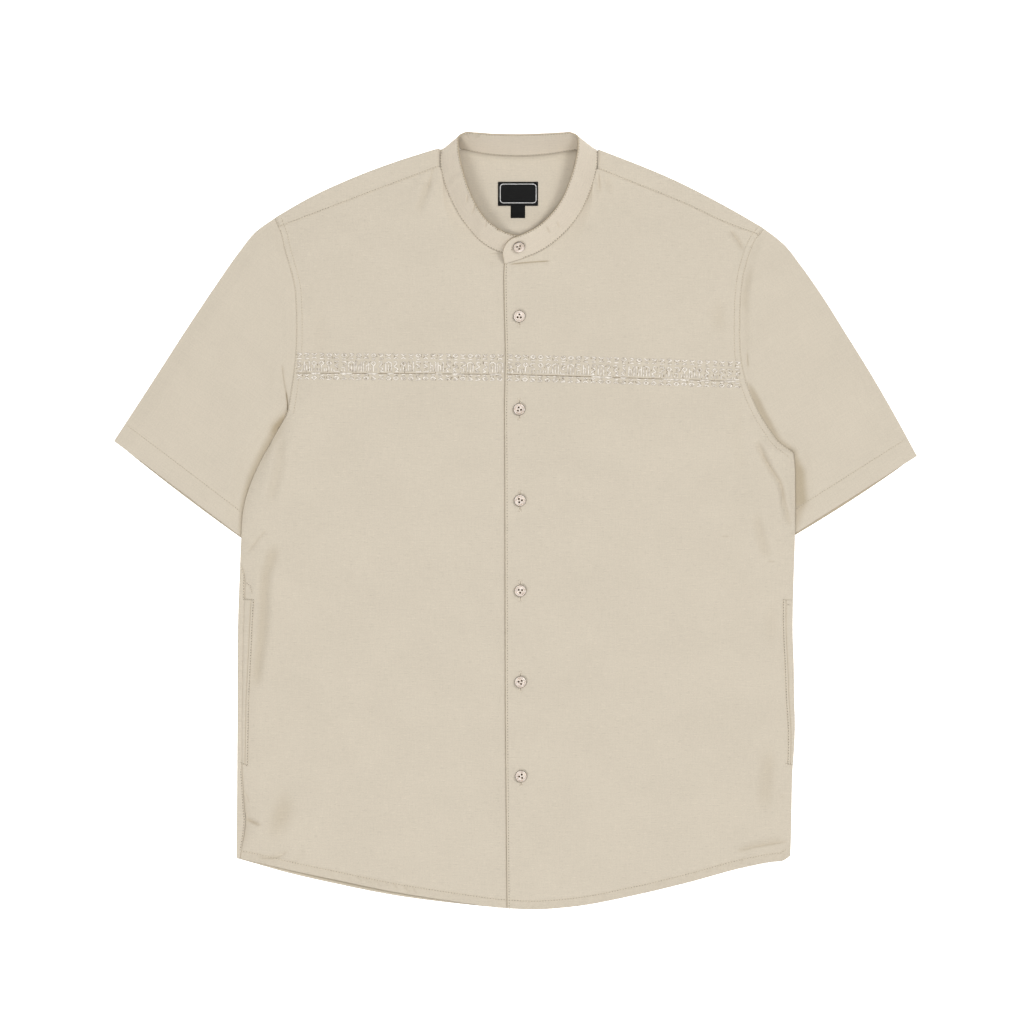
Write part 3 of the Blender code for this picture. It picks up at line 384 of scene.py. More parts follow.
# Pocket welts: height in the plan, distance of the seam line from the side seam
WELT_LEFT = [(-77.5, 7.1), (-124, 6.2), (-160, 4.8), (-178, 4), (-244, 3.6)]
WELT_RIGHT = [(-83, 6.9), (-137, 6), (-178, 5.2), (-242, 2.4)]
WELT_STITCH = 2.4
WELT_EDGE = 2.9
WELT_RISE = 0.42

# Chest embroidery: its middle line on each front, and heights of its rows from that line
CHEST_LEFT = [(-219.6, 155.2), (-11.8, 154)]
CHEST_RIGHT = [(-9.2, 154), (107, 150.6), (225.4, 146.6)]
CHEST_PITCH = 7.4
CHEST_RAIL = -6.9
CHEST_BORDERS = (10.4, -10.6)
CHEST_HALF_WIDTH = 0.76
CHEST_HALF_HEIGHT = 0.42
CHEST_MOTIFS = [
    # strokes of a motif in a field about 7 wide and 11 high
    [[(-2.6, -5.2), (-2.6, 5)], [(-2.6, 1.6), (-0.2, 1.4), (0.2, -5.2)],
     [(2.9, -5.2), (2.9, 4.6), (1, 5.2)]],
    [[(0.2, 5.4), (2.8, 3.2), (0.2, 0.8), (-2.4, 3.2), (0.2, 5.4)], [(0.2, 0.8), (0.2, -5.2)],
     [(-2.7, -5), (-2.7, -1.4)], [(3, -5), (3, -1.4)]],
    [[(-2.8, 4.6), (0.6, 5.2), (1, 2.8), (-2.2, 0.2), (2.4, -2.2), (-1.2, -4.9), (3, -4.9)]],
    [[(-2.9, -5.2), (-2.9, 3.6), (0, 5.2), (2.9, 3.6), (2.9, -5.2)], [(0, -5.2), (0, 2.2)]],
    [[(-2.8, 5), (2.8, 5)], [(2.4, 3), (-2, 0.6), (2.2, -1.2)], [(-2.7, -2.6), (-2.7, -5), (2.8, -5)]],
    [[(2.6, 4.6), (-1.6, 5), (-2.8, 2), (0.8, 0.8)], [(2.8, -0.6), (-0.8, -1.2), (-1, -5.2)],
     [(2.2, -3), (2.2, -5.2)]],
]
BORDER_MOTIFS = [
    [[(0, 2.8), (2.9, 0.8), (0, -0.8), (-2.9, 0.8), (0, 2.8)], [(-2.2, -2.7), (2.2, -2.7)]],
    [[(-3, 2.6), (0, 0.6), (3, 2.6)], [(-2.6, -2.5), (0, -1.1), (2.6, -2.5)]],
    [[(-2.8, 2.6), (2.8, 1.8), (-1.6, -0.8)], [(-2.4, -2.6), (2.6, -2.6)]],
]

# What differs between the halves of the shirt, left and right as seen from above
LEFT = {
    "inward": 1, "seed": 23, "armhole": ARMHOLE_LEFT, "side": SIDE_LEFT, "lip": LIP_LEFT,
    "middle": UNDER_EDGE, "shoulder": SHOULDER_LEFT, "seam": FORWARD_SEAM_LEFT, "creases": CREASES_UNDER,
    "thin": THIN_UNDER, "painted_shade": BODY_PAINTED_SHADE_LEFT, "welt": WELT_LEFT, "sleeve_fold": SLEEVE_FOLD_LEFT,
    "underarm": [UNDERARM_LEFT, SLEEVE_HEM_END_LEFT], "sleeve_creases": CREASES_SLEEVE_LEFT,
    "sleeve_thin": THIN_SLEEVE_LEFT, "sleeve_painted_shade": PAINTED_SHADE_LEFT, "step": STEP_LEFT, "grain": -35.0,
    "peek": 1.8, "peek_shade": 0.45,
}
RIGHT = {
    "inward": -1, "seed": 11, "armhole": ARMHOLE_RIGHT, "side": SIDE_RIGHT, "lip": LIP_RIGHT,
    "middle": OVER_EDGE, "shoulder": SHOULDER_RIGHT, "seam": FORWARD_SEAM_RIGHT, "creases": CREASES_OVER,
    "thin": THIN_OVER, "painted_shade": BODY_PAINTED_SHADE_RIGHT, "welt": WELT_RIGHT, "sleeve_fold": SLEEVE_FOLD_RIGHT,
    "underarm": [UNDERARM_RIGHT, SLEEVE_HEM_END_RIGHT], "sleeve_creases": CREASES_SLEEVE_RIGHT,
    "sleeve_thin": THIN_SLEEVE_RIGHT, "sleeve_painted_shade": PAINTED_SHADE_RIGHT, "step": STEP_RIGHT, "grain": 32.0,
    "peek": 2.4, "peek_shade": 0.9,
}


# Curves and surfaces

def travelled(points):
    """Length along a row of points, up to each of them."""
    return np.concatenate([[0.0], np.cumsum(np.linalg.norm(np.diff(points, axis=0), axis=1))])


def length_shares(points):
    """Length along a row of points, as a share of the whole."""
    length = travelled(points)
    return length / length[-1]


def line_length(points):
    """Length of a row of points."""
    return float(np.linalg.norm(np.diff(points, axis=0), axis=1).sum())


def smooth(rows, shares):
    """Points at the given shares of a smooth curve through the rows."""
    points = np.asarray(rows, dtype=float)
    knots = length_shares(points[:, :2])
    slopes = np.gradient(points, knots, axis=0)
    shares = np.atleast_1d(np.asarray(shares, dtype=float))
    index = np.clip(np.searchsorted(knots, shares, side="right") - 1, 0, len(knots) - 2)
    span = (knots[index + 1] - knots[index])[:, None]
    t = (shares[:, None] - knots[index][:, None]) / span
    return ((2 * t**3 - 3 * t**2 + 1) * points[index] + (t**3 - 2 * t**2 + t) * span * slopes[index]
            + (3 * t**2 - 2 * t**3) * points[index + 1] + (t**3 - t**2) * span * slopes[index + 1])


def curve(rows, count, start=0.0, end=1.0):
    """Many points of a smooth curve through the rows, at even shares."""
    return smooth(rows, np.linspace(start, end, count))


def share_where(rows, axis, value, start=0.0, end=1.0):
    """The share of a smooth curve, between two shares, at which x (0) or y (1) reaches a value."""
    samples = np.linspace(start, end, 600)
    found = smooth(rows, samples)[:, axis]
    order = np.argsort(found)
    return float(np.interp(value, found[order], samples[order]))


def ease(t):
    """Smooth step from 0 to 1."""
    t = np.clip(t, 0.0, 1.0)
    return t * t * (3 - 2 * t)


def moved_left(points, distance):
    """A row of points in the plane, moved to the left of its travel by a distance or distances."""
    along = np.gradient(points[:, :2], axis=0)
    along /= np.linalg.norm(along, axis=1)[:, None]
    left = np.stack([-along[:, 1], along[:, 0]], axis=1)
    distance = np.broadcast_to(np.asarray(distance, dtype=float), (len(points),))
    return points[:, :2] + left * distance[:, None]


def along_line(points, distances):
    """Points at the given distances along a row of points."""
    points = np.asarray(points, dtype=float)
    length = travelled(points)
    return np.stack([np.interp(distances, length, column) for column in points.T], axis=1)


def spread(points, count):
    """A row of points drawn anew with an even spacing."""
    return along_line(points, np.linspace(0, line_length(points), count))


def graded(length, start, end, step):
    """Distances along an edge: the listed ones from both ends, and even steps between them."""
    count = max(2, round((length - start[-1] - end[-1]) / step))
    middle = np.linspace(start[-1], length - end[-1], count + 1)[1:-1]
    return np.concatenate([start, middle, length - np.array(end)[::-1]])


def column_shares(widths, start, end, step):
    """Shares of each row's width at which a sheet has points, with the listed distances at both ends."""
    count = max(2, round((np.max(widths) - start[-1] - end[-1]) / step))
    inner = np.linspace(0.0, 1.0, count + 1)[1:-1]
    rows = [np.concatenate([start, start[-1] + (width - start[-1] - end[-1]) * inner,
                            width - np.array(end)[::-1]]) / width for width in widths]
    return np.array(rows)


def near_line(x, y, line):
    """Distance from points to a line of straight stretches, its side (left is +1) and length along it."""
    line = np.asarray(line, dtype=float)
    best = np.full(np.shape(x), np.inf)
    side = np.zeros(np.shape(x))
    along = np.zeros(np.shape(x))
    before = 0.0
    for start, end in zip(line, line[1:]):
        run = end - start
        length = math.hypot(*run)
        t = np.clip(((x - start[0]) * run[0] + (y - start[1]) * run[1]) / length**2, 0.0, 1.0)
        gap = np.hypot(x - start[0] - t * run[0], y - start[1] - t * run[1])
        closer = gap < best
        best = np.where(closer, gap, best)
        left = np.sign(run[0] * (y - start[1]) - run[1] * (x - start[0]))
        side = np.where(closer, left, side)
        along = np.where(closer, before + t * length, along)
        before += length
    return best, side, along


def distance_outside(x, y, corners):
    """Distance from points to a convex region in the plane, nothing inside it."""
    corners = np.asarray(corners, dtype=float)
    nearest = np.full(np.shape(x), np.inf)
    sides = []
    for start, end in zip(corners, np.roll(corners, -1, axis=0)):
        run = end - start
        t = np.clip(((x - start[0]) * run[0] + (y - start[1]) * run[1]) / (run @ run), 0.0, 1.0)
        nearest = np.minimum(nearest, np.hypot(x - start[0] - t * run[0], y - start[1] - t * run[1]))
        sides.append(run[0] * (y - start[1]) - run[1] * (x - start[0]))
    sides = np.array(sides)
    inside = np.all(sides >= 0, axis=0) | np.all(sides <= 0, axis=0)
    return np.where(inside, 0.0, nearest)


def tuck_share(x, y, slope):
    """1 where a sleeve lies beneath the body, falling to 0 over the slope around it."""
    gap = np.min([distance_outside(x, y, corners) for corners in TUCKS], axis=0)
    return 1.0 - ease(gap / slope)


def crease_reach(x, y, line, half_width):
    """Distance from a crease in half widths, its side, and how full it is: it fades at both ends."""
    length = line_length(np.asarray(line))
    gap, side, along = near_line(x, y, curve(line, 9))
    fade = min(length / 2, 4 * half_width)
    return gap / half_width, side, ease(along / fade) * ease((length - along) / fade)


def crease_height(x, y, creases):
    """Height that the listed creases add: each leaves soft shoulders."""
    height = np.zeros(np.shape(x))
    for line, half_width, size, lean, _ in creases:
        across, side, full = crease_reach(x, y, line, half_width)
        height += full * (size * (np.exp(-across**2) - 0.3 * np.exp(-(across - 1.9)**2))
                          - lean * side * across * np.exp(-across**2 / 2))
    return height


def crease_shade(x, y, creases):
    """How much painted shade darkens the listed creases."""
    shade = np.zeros(np.shape(x))
    for line, half_width, _, _, darkness in creases:
        across, _, full = crease_reach(x, y, line, half_width)
        shade += darkness * full * np.exp(-across**2)
    return shade


def edge_shade(x, y, line, rows):
    """How much painted shade darkens the cloth in the low ground that runs along a line."""
    gap = near_line(x, y, line)[0]
    rows = np.asarray(rows, dtype=float)[::-1]
    darkness, width, fade = [np.interp(y, rows[:, 0], rows[:, column]) for column in (1, 2, 3)]
    return darkness * (1.0 - ease((gap - width) / fade)) * (0.7 + 0.3 * ease(gap / 1.5))


def pucker_height(along, seed):
    """Uneven small waves along a stitched line, from -1 to 1."""
    draw = np.random.default_rng(seed)
    total = np.zeros(np.shape(along))
    for wave, size in ((5.3, 0.3), (8.1, 0.35), (13.7, 0.35)):
        drift = 1.0 + 0.25 * np.sin(along / 61.0 + draw.uniform(0, 6.3))
        total += size * np.sin(2 * math.pi * along / wave * drift + draw.uniform(0, 6.3))
    return total


def sewn_edge(distance, along, stitch, seed, roll=0.45, doubled=0.35, dip=0.3, pucker=0.14, reach=6.0):
    """Height that a turned and topstitched edge adds to the cloth."""
    turned = -roll * np.exp(-(distance / 0.55) ** 2)
    thick = doubled * (1.0 - ease((distance - stitch - 0.3) / 1.8))
    sunk = -dip * np.exp(-((distance - stitch) / 0.6) ** 2)
    waves = pucker * pucker_height(along, seed) * np.exp(-((distance - stitch) / reach) ** 2)
    return turned + thick + sunk + waves


def plain_edge(distance, along, seed, drop=0.45, pucker=0.12, reach=6.0):
    """Height of an edge that is sewn under a neighbour: it dips beneath it, and puckers a little."""
    return (-drop * np.exp(-(distance / 1.2) ** 2)
            + pucker * pucker_height(along, seed) * np.exp(-(distance / reach) ** 2))


def blended_grid(top, bottom, start, end, shares, top_reach=1.0, bottom_reach=1.0):
    """Plan points of a sheet between four edges. Shares hold one row for each point of the start edge."""
    v = length_shares(start)[:, None, None]
    u = np.broadcast_to(shares, (len(start), np.shape(shares)[-1]))[:, :, None]
    level = (1 - u) * start[:, None, :] + u * end[:, None, :]
    top_pull = 1 - ease(v / top_reach) if top_reach < 1 else 1 - v
    bottom_pull = ease((v - 1 + bottom_reach) / bottom_reach) if bottom_reach < 1 else v
    return level + top_pull * (top[None] - level[:1]) + bottom_pull * (bottom[None] - level[-1:])


def raised(grid, height):
    """Plan points and their heights as one array of x, y, z."""
    height = np.broadcast_to(np.asarray(height, dtype=float), grid.shape[:-1])
    return np.concatenate([grid, height[..., None]], axis=-1)


def fold_rows(edge, outward, low, high):
    """Rows of a half-round fold that joins two layers along an edge, lower layer first."""
    reach = moved_left(edge, outward) - edge[:, :2]
    middle = ((low + high) / 2)[:, None]
    radius = ((high - low) / 2)[:, None]
    turns = np.linspace(0.0, math.pi, FOLD_STEPS + 1)
    return np.array([np.concatenate([edge[:, :2] + reach * radius * math.sin(turn),
                                     middle - radius * math.cos(turn)], axis=1) for turn in turns])


# Meshes

def link_mesh(name, mesh, material):
    """A named object in the scene for a mesh of one material."""
    mesh.materials.append(material)
    piece = bpy.data.objects.new(name, mesh)
    bpy.context.scene.collection.objects.link(piece)
    return piece


def select_only(piece):
    """Leaves one piece selected and active."""
    bpy.ops.object.select_all(action="DESELECT")
    bpy.context.view_layer.objects.active = piece
    piece.select_set(True)


def lay_weave(mesh, places):
    """Gives a mesh its points' places on the cloth, in metres, as the UV map that the weave follows."""
    corners = np.zeros(len(mesh.loops), dtype=np.int64)
    mesh.loops.foreach_get("vertex_index", corners)
    layer = mesh.uv_layers.new(name="weave")
    layer.data.foreach_set("uv", np.asarray(places)[corners].astype(np.float32).ravel())


def apply_modifiers(piece):
    """Applies what shapes a piece, so that its mesh is final."""
    select_only(piece)
    for modifier in list(piece.modifiers):
        bpy.ops.object.modifier_apply(modifier=modifier.name)


def press_creases(work, creases, above):
    """Cuts a sheet's mesh finer along thin creases, presses them in and paints shade into them, on the layer
    above a height.
    """
    painted_shade = work.verts.layers.float["painted_shade"]

    def measured(path):
        verts = [vertex for vertex in work.verts if vertex.co.z > above * MM]
        spots = np.array([vertex.co[:2] for vertex in verts]) / MM
        return verts, near_line(spots[:, 0], spots[:, 1], path)

    for line, half_width, size, lean, darkness in creases:
        length = line_length(np.asarray(line))
        path = curve(line, 9)
        for reach in (7.0 * half_width + 2.0, 4.0 * half_width):
            verts, (gap, _, _) = measured(path)
            close = {vertex for vertex, distance in zip(verts, gap) if distance < reach}
            edges = {edge for vertex in close for edge in vertex.link_edges
                     if edge.other_vert(vertex) in close and edge.calc_length() > 0.7 * MM}
            bmesh.ops.subdivide_edges(work, edges=list(edges), cuts=1, use_grid_fill=True)
        verts, (gap, side, along) = measured(path)
        fade = min(6.0, length / 3)
        taper = ease(along / fade) * ease((length - along) / fade)
        across = gap / half_width
        lift = taper * (size * np.exp(-across**2) - lean * side * across * np.exp(-across**2 / 3))
        # painted shade along the crease
        shade = taper * darkness * np.exp(-across**2)
        for vertex, rise, dark in zip(verts, lift, shade):
            vertex.co.z += rise * MM
            vertex[painted_shade] += dark


def cut_cloth(name, patches, thickness, material, thin=(), above=0.0):
    """A sheet of cloth from patches of its middle surface: points, their places on the cloth, painted shade.
    """
    points = []
    faces = []
    weave = []
    shades = []
    for grid, plan, *shade in patches:
        rows, columns = grid.shape[:2]
        shades.append(np.broadcast_to(shade[0] if shade else 0.0, (rows, columns)).ravel())
        first = len(points)
        faces += [(first + r * columns + c, first + r * columns + c + 1,
                   first + (r + 1) * columns + c + 1, first + (r + 1) * columns + c)
                  for r in range(rows - 1) for c in range(columns - 1)]
        points += (grid.reshape(-1, 3) * MM).tolist()
        weave.append(plan.reshape(-1, 2) * MM)
    mesh = bpy.data.meshes.new(name)
    mesh.from_pydata(points, [], faces)
    lay_weave(mesh, np.concatenate(weave))
    painted_shade = mesh.attributes.new("painted_shade", "FLOAT", "POINT")
    painted_shade.data.foreach_set("value", np.concatenate(shades).astype(np.float32))
    work = bmesh.new()
    work.from_mesh(mesh)
    bmesh.ops.remove_doubles(work, verts=work.verts, dist=0.01 * MM)
    press_creases(work, thin, above)
    bmesh.ops.recalc_face_normals(work, faces=work.faces)
    work.to_mesh(mesh)
    work.free()
    mesh.shade_smooth()
    piece = link_mesh(name, mesh, material)
    wall = piece.modifiers.new("cloth thickness", "SOLIDIFY")
    wall.thickness = thickness * MM
    wall.offset = 0.0
    apply_modifiers(piece)
    clear_underside(piece.data)
    return piece


def clear_underside(mesh):
    """Keeps the painted shade on the upper side of a sheet only: its underside gets none."""
    normals = np.zeros(3 * len(mesh.vertices), dtype=np.float32)
    mesh.vertex_normals.foreach_get("vector", normals)
    shade = np.zeros(len(mesh.vertices), dtype=np.float32)
    painted_shade = mesh.attributes["painted_shade"]
    painted_shade.data.foreach_get("value", shade)
    shade[normals[2::3] < -0.3] = 0.0
    painted_shade.data.foreach_set("value", shade)


# The pieces of the shirt

def at_height(rows, y):
    """The second column of a table at plan heights, evened out between its rows."""
    rows = np.asarray(rows, dtype=float)[::-1]
    return np.interp(y, rows[:, 0], rows[:, 1])


def side_line(rows):
    """Many points down the side of the body."""
    return curve(rows, 400)


def between(line, high, low):
    """The stretch of a line down the shirt between two heights in the plan."""
    return line[(line[:, 1] < high) & (line[:, 1] > low)]


def middle_share(x):
    """0 along the buttoned edges, 1 away from them."""
    return ease((np.abs(x - MIDDLE_X) - MIDDLE_FLAT) / MIDDLE_SLOPE)


def front_lines(half):
    """A front's armhole and its side edge, from the shoulder to the hem."""
    forward = share_where(half["armhole"], 1, half["seam"][0][1])
    arm = curve(half["armhole"], 300, forward)
    side = side_line(half["side"])
    side_edge = moved_left(side, half["inward"] * (SILHOUETTE_INSET + at_height(half["lip"], side[:, 1])))
    keep = side_edge[:, 1] < arm[-1, 1] - CORNER_GAP
    return arm, np.concatenate([arm[-1:], side_edge[keep]])


def front_sheet(name, half, neck, material):
    """One front: its grid follows its outer edge, its edge at the middle, its neck and its hem."""
    over = half is RIGHT
    arm_edge, side_edge = front_lines(half)
    outer = np.concatenate([arm_edge, side_edge[1:]])
    start = along_line(outer, graded(line_length(outer), TOP_STEPS, HEM_STEPS, FRONT_STEP))
    seam = curve(half["seam"], 160)
    seam[0] = start[0]
    top_line = np.concatenate([seam, neck[1:]])
    underarm_y = arm_edge[-1, 1]
    edge_rows = np.asarray(half["middle"], dtype=float)
    bottom_x = float(np.interp(HEM[len(HEM) // 2][1], edge_rows[:, 1], edge_rows[:, 0]))
    hem_start = share_where(HEM, 0, start[-1][0])
    hem_end = share_where(HEM, 0, bottom_x)
    hem_line = curve(HEM, 300, hem_start, hem_end)
    if not over:
        run = np.clip(np.linspace(0.0, 1.0, 300) / UNDER_FRONT_HEM_RISE_END, 0.0, 1.0)
        hem_line[:, 1] += UNDER_FRONT_HEM_RISE * np.sin(math.pi * run ** 0.8) ** 0.8
    knots = np.array([start[0, 1], underarm_y, EVEN_ROW_Y, start[-1, 1]])
    marks = np.array([top_line[-1, 1], underarm_y, EVEN_ROW_Y, hem_line[-1, 1]])
    end_y = np.interp(start[:, 1], knots[::-1], marks[::-1])
    end_x = np.interp(end_y, edge_rows[:, 1], edge_rows[:, 0])
    end_x += (top_line[-1, 0] - end_x[0]) * np.exp(-(end_y[0] - end_y) / CORNER_BLEND)
    end = np.stack([end_x, end_y], axis=1)
    end[0] = top_line[-1]
    end[-1] = hem_line[-1]
    widths = np.linalg.norm(end - start, axis=1)
    placket = PLACKET_STEPS if over else PLAIN_STEPS
    shares = column_shares(widths, SIDE_STEPS, placket, FRONT_STEP)
    top = along_line(top_line, shares[0] * line_length(top_line))
    hem = along_line(hem_line, shares[-1] * line_length(hem_line))
    hem[0] = start[-1]
    grid = blended_grid(top, hem, start, end, shares, FRONT_TOP_REACH, HEM_REACH)
    x, y = grid[..., 0], grid[..., 1]
    v = length_shares(start)[:, None]
    near = tuck_share(x, y, FRONT_TUCK_SLOPE)
    ends = np.minimum(v, 1 - v) * line_length(start)
    arm_share = ARM_LOFT * ease((start[:, 1:] - underarm_y) / 60.0)
    loft = arm_share + (1 - arm_share) * ease(shares * widths[:, None] / LOFT_REACH)
    loft *= LOFT * ease(ends / (2 * LOFT_REACH)) * middle_share(x)
    height = FRONT_HEIGHT + TUCK_LIFT * near + loft + crease_height(x, y, half["creases"])
    height = np.maximum(height, FRONT_HEIGHT + TUCK_LIFT * near - DEEPEST_CREASE)
    if over:
        height = height + SHEET_GAP * (1.0 - ease((x - OVERLAP_END_X) / OVERLAP_SLOPE))
    seed = half["seed"]
    gap, _, along = near_line(x, y, spread(arm_edge, 60))
    height += sewn_edge(gap, along, ARMHOLE_STITCH, seed, roll=0.2, doubled=0.25, dip=0.12)
    gap, _, along = near_line(x, y, spread(side_edge, 60))
    shown = ease(at_height(half["lip"], y) / 1.5)
    height += shown * plain_edge(gap, along, seed + 1, drop=0.9, pucker=0.4)
    height -= (1 - shown) * ROLL * (1 - np.sqrt(1 - np.clip(1 - gap / ROLL_WIDTH, 0, 1) ** 2))
    height -= EDGE_SAG * near * np.exp(-(gap / EDGE_SAG_REACH) ** 2)
    # painted shade in the creases and beside the body's edge, and along the side seam where it shows
    shade = crease_shade(x, y, half["creases"]) + edge_shade(x, y, spread(outer, 200), half["painted_shade"])
    shade += shown * SEAM_SHADE * np.exp(-(gap / 0.9) ** 2) * (1.0 + 0.5 * pucker_height(along, seed + 1))
    gap, _, along = near_line(x, y, spread(hem_line, 60))
    height += sewn_edge(gap, along, HEM_STITCH, seed + 2, dip=0.12, pucker=0.22, reach=7.0)
    # painted shade between the hem's stitching and its edge, uneven along it
    waves = 1.0 + 0.7 * pucker_height(along + 0.7 * gap, seed + 6)
    shade += HEM_SHADE * waves * (1.0 - ease((gap - 7.0) / 5.0))
    if not over:
        height += HEM_LIFT * np.exp(-(gap / 22.0) ** 2) * np.sin(math.pi * np.clip(shares, 0.0, 1.0)) ** 1.5
    gap, _, along = near_line(x, y, spread(seam, 30))
    height += plain_edge(gap, along, seed + 3, drop=0.25)
    gap, _, along = near_line(x, y, spread(neck, 40))
    height += plain_edge(gap, along, seed + 4, drop=0.2, pucker=0.2, reach=8.0)
    if over:
        gap = (1 - shares) * widths[:, None]
        height += sewn_edge(gap, y, PLACKET_STITCH, seed + 5, roll=0.45, doubled=0.3, pucker=0.08)
        # painted shade: a thin dark line along the placket's edge
        shade += PLACKET_SHADE * np.exp(-(gap / 0.35) ** 2)
    cloth = cut_cloth(name, [(raised(grid, height), grid, shade)], CLOTH, material, half["thin"])
    armhole = start[:, 1] > underarm_y
    rim = np.stack([start[armhole, 1], height[armhole, 0]], axis=1)
    return cloth, {"side": side_edge, "hem": hem_line, "edge": end, "rim": rim}


def back_sheet(name, material):
    """The back, with the strips that wrap round both side folds."""
    edges = []
    for half in (LEFT, RIGHT):
        arm = curve(half["armhole"], 240, share_where(half["armhole"], 1, YOKE_SEAM_Y))
        side = moved_left(side_line(half["side"]), half["inward"] * SILHOUETTE_INSET)
        keep = side[:, 1] < arm[-1, 1] - CORNER_GAP
        outer = np.concatenate([arm, side[keep]])
        edges.append(along_line(outer, graded(line_length(outer), TOP_STEPS, HEM_STEPS, BACK_STEP)))
    count = max(len(edge) for edge in edges)
    left, right = [edge if len(edge) == count else
                   along_line(edge, graded(line_length(edge), TOP_STEPS, HEM_STEPS,
                                         (line_length(edge) - TOP_STEPS[-1] - HEM_STEPS[-1])
                                         / (count - len(TOP_STEPS) - len(HEM_STEPS) + 1)))
                   for edge in edges]
    widths = np.linalg.norm(right - left, axis=1)
    shares = column_shares(widths, SIDE_STEPS, SIDE_STEPS, BACK_STEP)
    top = left[0] + (right[0] - left[0]) * shares[0][:, None]
    hem_start = share_where(HEM, 0, left[-1][0])
    hem_end = share_where(HEM, 0, right[-1][0])
    hem = smooth(HEM, hem_start + (hem_end - hem_start) * shares[-1])
    hem[0] = left[-1]
    hem[-1] = right[-1]
    grid = blended_grid(top, hem, left, right, shares, BACK_TOP_REACH, HEM_REACH)
    x, y = grid[..., 0], grid[..., 1]
    base = BACK_HEIGHT + TUCK_LIFT * tuck_share(x, y, TUCK_SLOPE)
    gap, _, along = near_line(x, y, hem[::4])
    height = base + 0.5 * sewn_edge(gap, along, HEM_STITCH, 41, roll=0.1)
    # painted shade on the back where it shows below the front's hem
    shade = (0.05 + 0.75 * ease(gap / 3.5)) * (1.0 - ease((gap - 9.0) / 3.0))
    side_gap = np.minimum(shares, 1 - shares) * widths[:, None]
    height -= EDGE_SAG * (base - BACK_HEIGHT) / TUCK_LIFT * np.exp(-(side_gap / EDGE_SAG_REACH) ** 2)
    patches = [(raised(grid, height), grid, shade)]
    for column, outer, half in ((0, left, LEFT), (-1, right, RIGHT)):
        first = int(np.argmax(outer[:, 1] < half["armhole"][-1][1]))
        edge = np.concatenate([grid[first:, column], height[first:, column, None]], axis=1)
        plan = grid[first:, column]
        outward = moved_left(plan, -half["inward"]) - plan
        lip = at_height(half["lip"], plan[:, 1])[:, None]
        beneath = LIP_SINK * (1.0 - ease(lip / 1.5))
        lip = np.maximum(lip, NARROWEST_LIP)
        turns = np.linspace(0.0, math.pi, FOLD_STEPS + 1)
        rows = [np.concatenate([plan + outward * FOLD_RADIUS * math.sin(turn),
                                edge[:, 2:] + FOLD_RADIUS * (1 - math.cos(turn))], axis=1) for turn in turns]
        rows[-1][:, 2:] -= beneath
        over = edge[:, 2:] + 2 * FOLD_RADIUS
        rows += [np.concatenate([plan - outward * lip * share, over - drop - beneath], axis=1)
                 for share, drop in ((0.35, 0.0), (0.7, 0.0), (0.9, 0.12), (1.08, 0.4))]
        strip = np.array(rows)
        weave = np.array([plan + outward * step for step in np.linspace(0.0, 6.0, len(rows))])
        patches.append((strip, weave))
    return cut_cloth(name, patches, CLOTH, material), {"hem": hem, "top": top}


def yoke_sheet(name, material):
    """The yoke: its back, the turns over both shoulders, and the strips down to the forward seams."""
    patches = []
    neck_columns = []
    shares = np.linspace(0.0, 1.0, YOKE_COLUMNS)
    for half in (LEFT, RIGHT):
        arm_rows, forward, inward = half["armhole"], half["seam"], half["inward"]
        yoke_share = share_where(arm_rows, 1, YOKE_SEAM_Y)
        forward_share = share_where(arm_rows, 1, forward[0][1])
        fold = moved_left(smooth(half["shoulder"], shares), -inward * SILHOUETTE_INSET)
        fold[0] = smooth(arm_rows, 0.0)[0]
        fold[-1] = NECK_BACK[0] if inward == 1 else NECK_BACK[-1]
        seam = smooth(forward, shares)
        seam[0] = smooth(arm_rows, forward_share)[0]
        start = curve(arm_rows, 14, yoke_share, 0.0)
        neck_column = np.linspace((fold[-1][0], start[0][1]), fold[-1], 14)
        lower = start[0] + (neck_column[0] - start[0]) * shares[:, None]
        back = blended_grid(lower, fold, start, neck_column, shares)
        patches.append((raised(back, BACK_HEIGHT), back))
        low = np.full(YOKE_COLUMNS, BACK_HEIGHT)
        turn = fold_rows(fold, inward, low, low + SHEET_GAP)
        patches.append((turn, np.broadcast_to(fold, (len(turn), YOKE_COLUMNS, 2)).copy()))
        arm_part = curve(arm_rows, 24, 0.0, forward_share)
        neck_part = np.linspace(fold[-1], seam[-1], 24)
        depth = length_shares(arm_part)
        depth = 1 - (1 - depth) ** 1.6
        arm_part = along_line(arm_part, depth * line_length(arm_part))
        neck_part = along_line(neck_part, depth * line_length(neck_part))
        strip = blended_grid(fold, seam, arm_part, neck_part, shares)
        x, y = strip[..., 0], strip[..., 1]
        gap, _, along = near_line(x, y, seam[::3])
        height = FRONT_HEIGHT + sewn_edge(gap, along, YOKE_STITCH, 51 + inward, roll=0.2, doubled=0.3,
                                          dip=0.2)
        gap, _, along = near_line(x, y, curve(arm_rows, 12, 0.0, forward_share))
        height += sewn_edge(gap, along, ARMHOLE_STITCH, 57 + inward)
        blend = ease((depth * line_length(neck_part)) / 3.0)[:, None]
        height = FRONT_HEIGHT + (height - FRONT_HEIGHT) * blend
        patches.append((raised(strip, height), strip))
        neck_columns.append(neck_column)
    neck = curve(NECK_BACK, 60)
    left, right = neck_columns
    lower = np.linspace(left[0], right[0], 60)
    middle = blended_grid(lower, neck, left, right, np.linspace(0.0, 1.0, 60))
    x, y = middle[..., 0], middle[..., 1]
    bulge = NECK_BULGE * np.exp(-(x / 30.0) ** 2 - ((y - NECK_BULGE_Y) / 16.0) ** 2)
    patches.append((raised(middle, BACK_HEIGHT + bulge * ease((y - y.min()) / 18.0)), middle))
    return cut_cloth(name, patches, CLOTH, material)


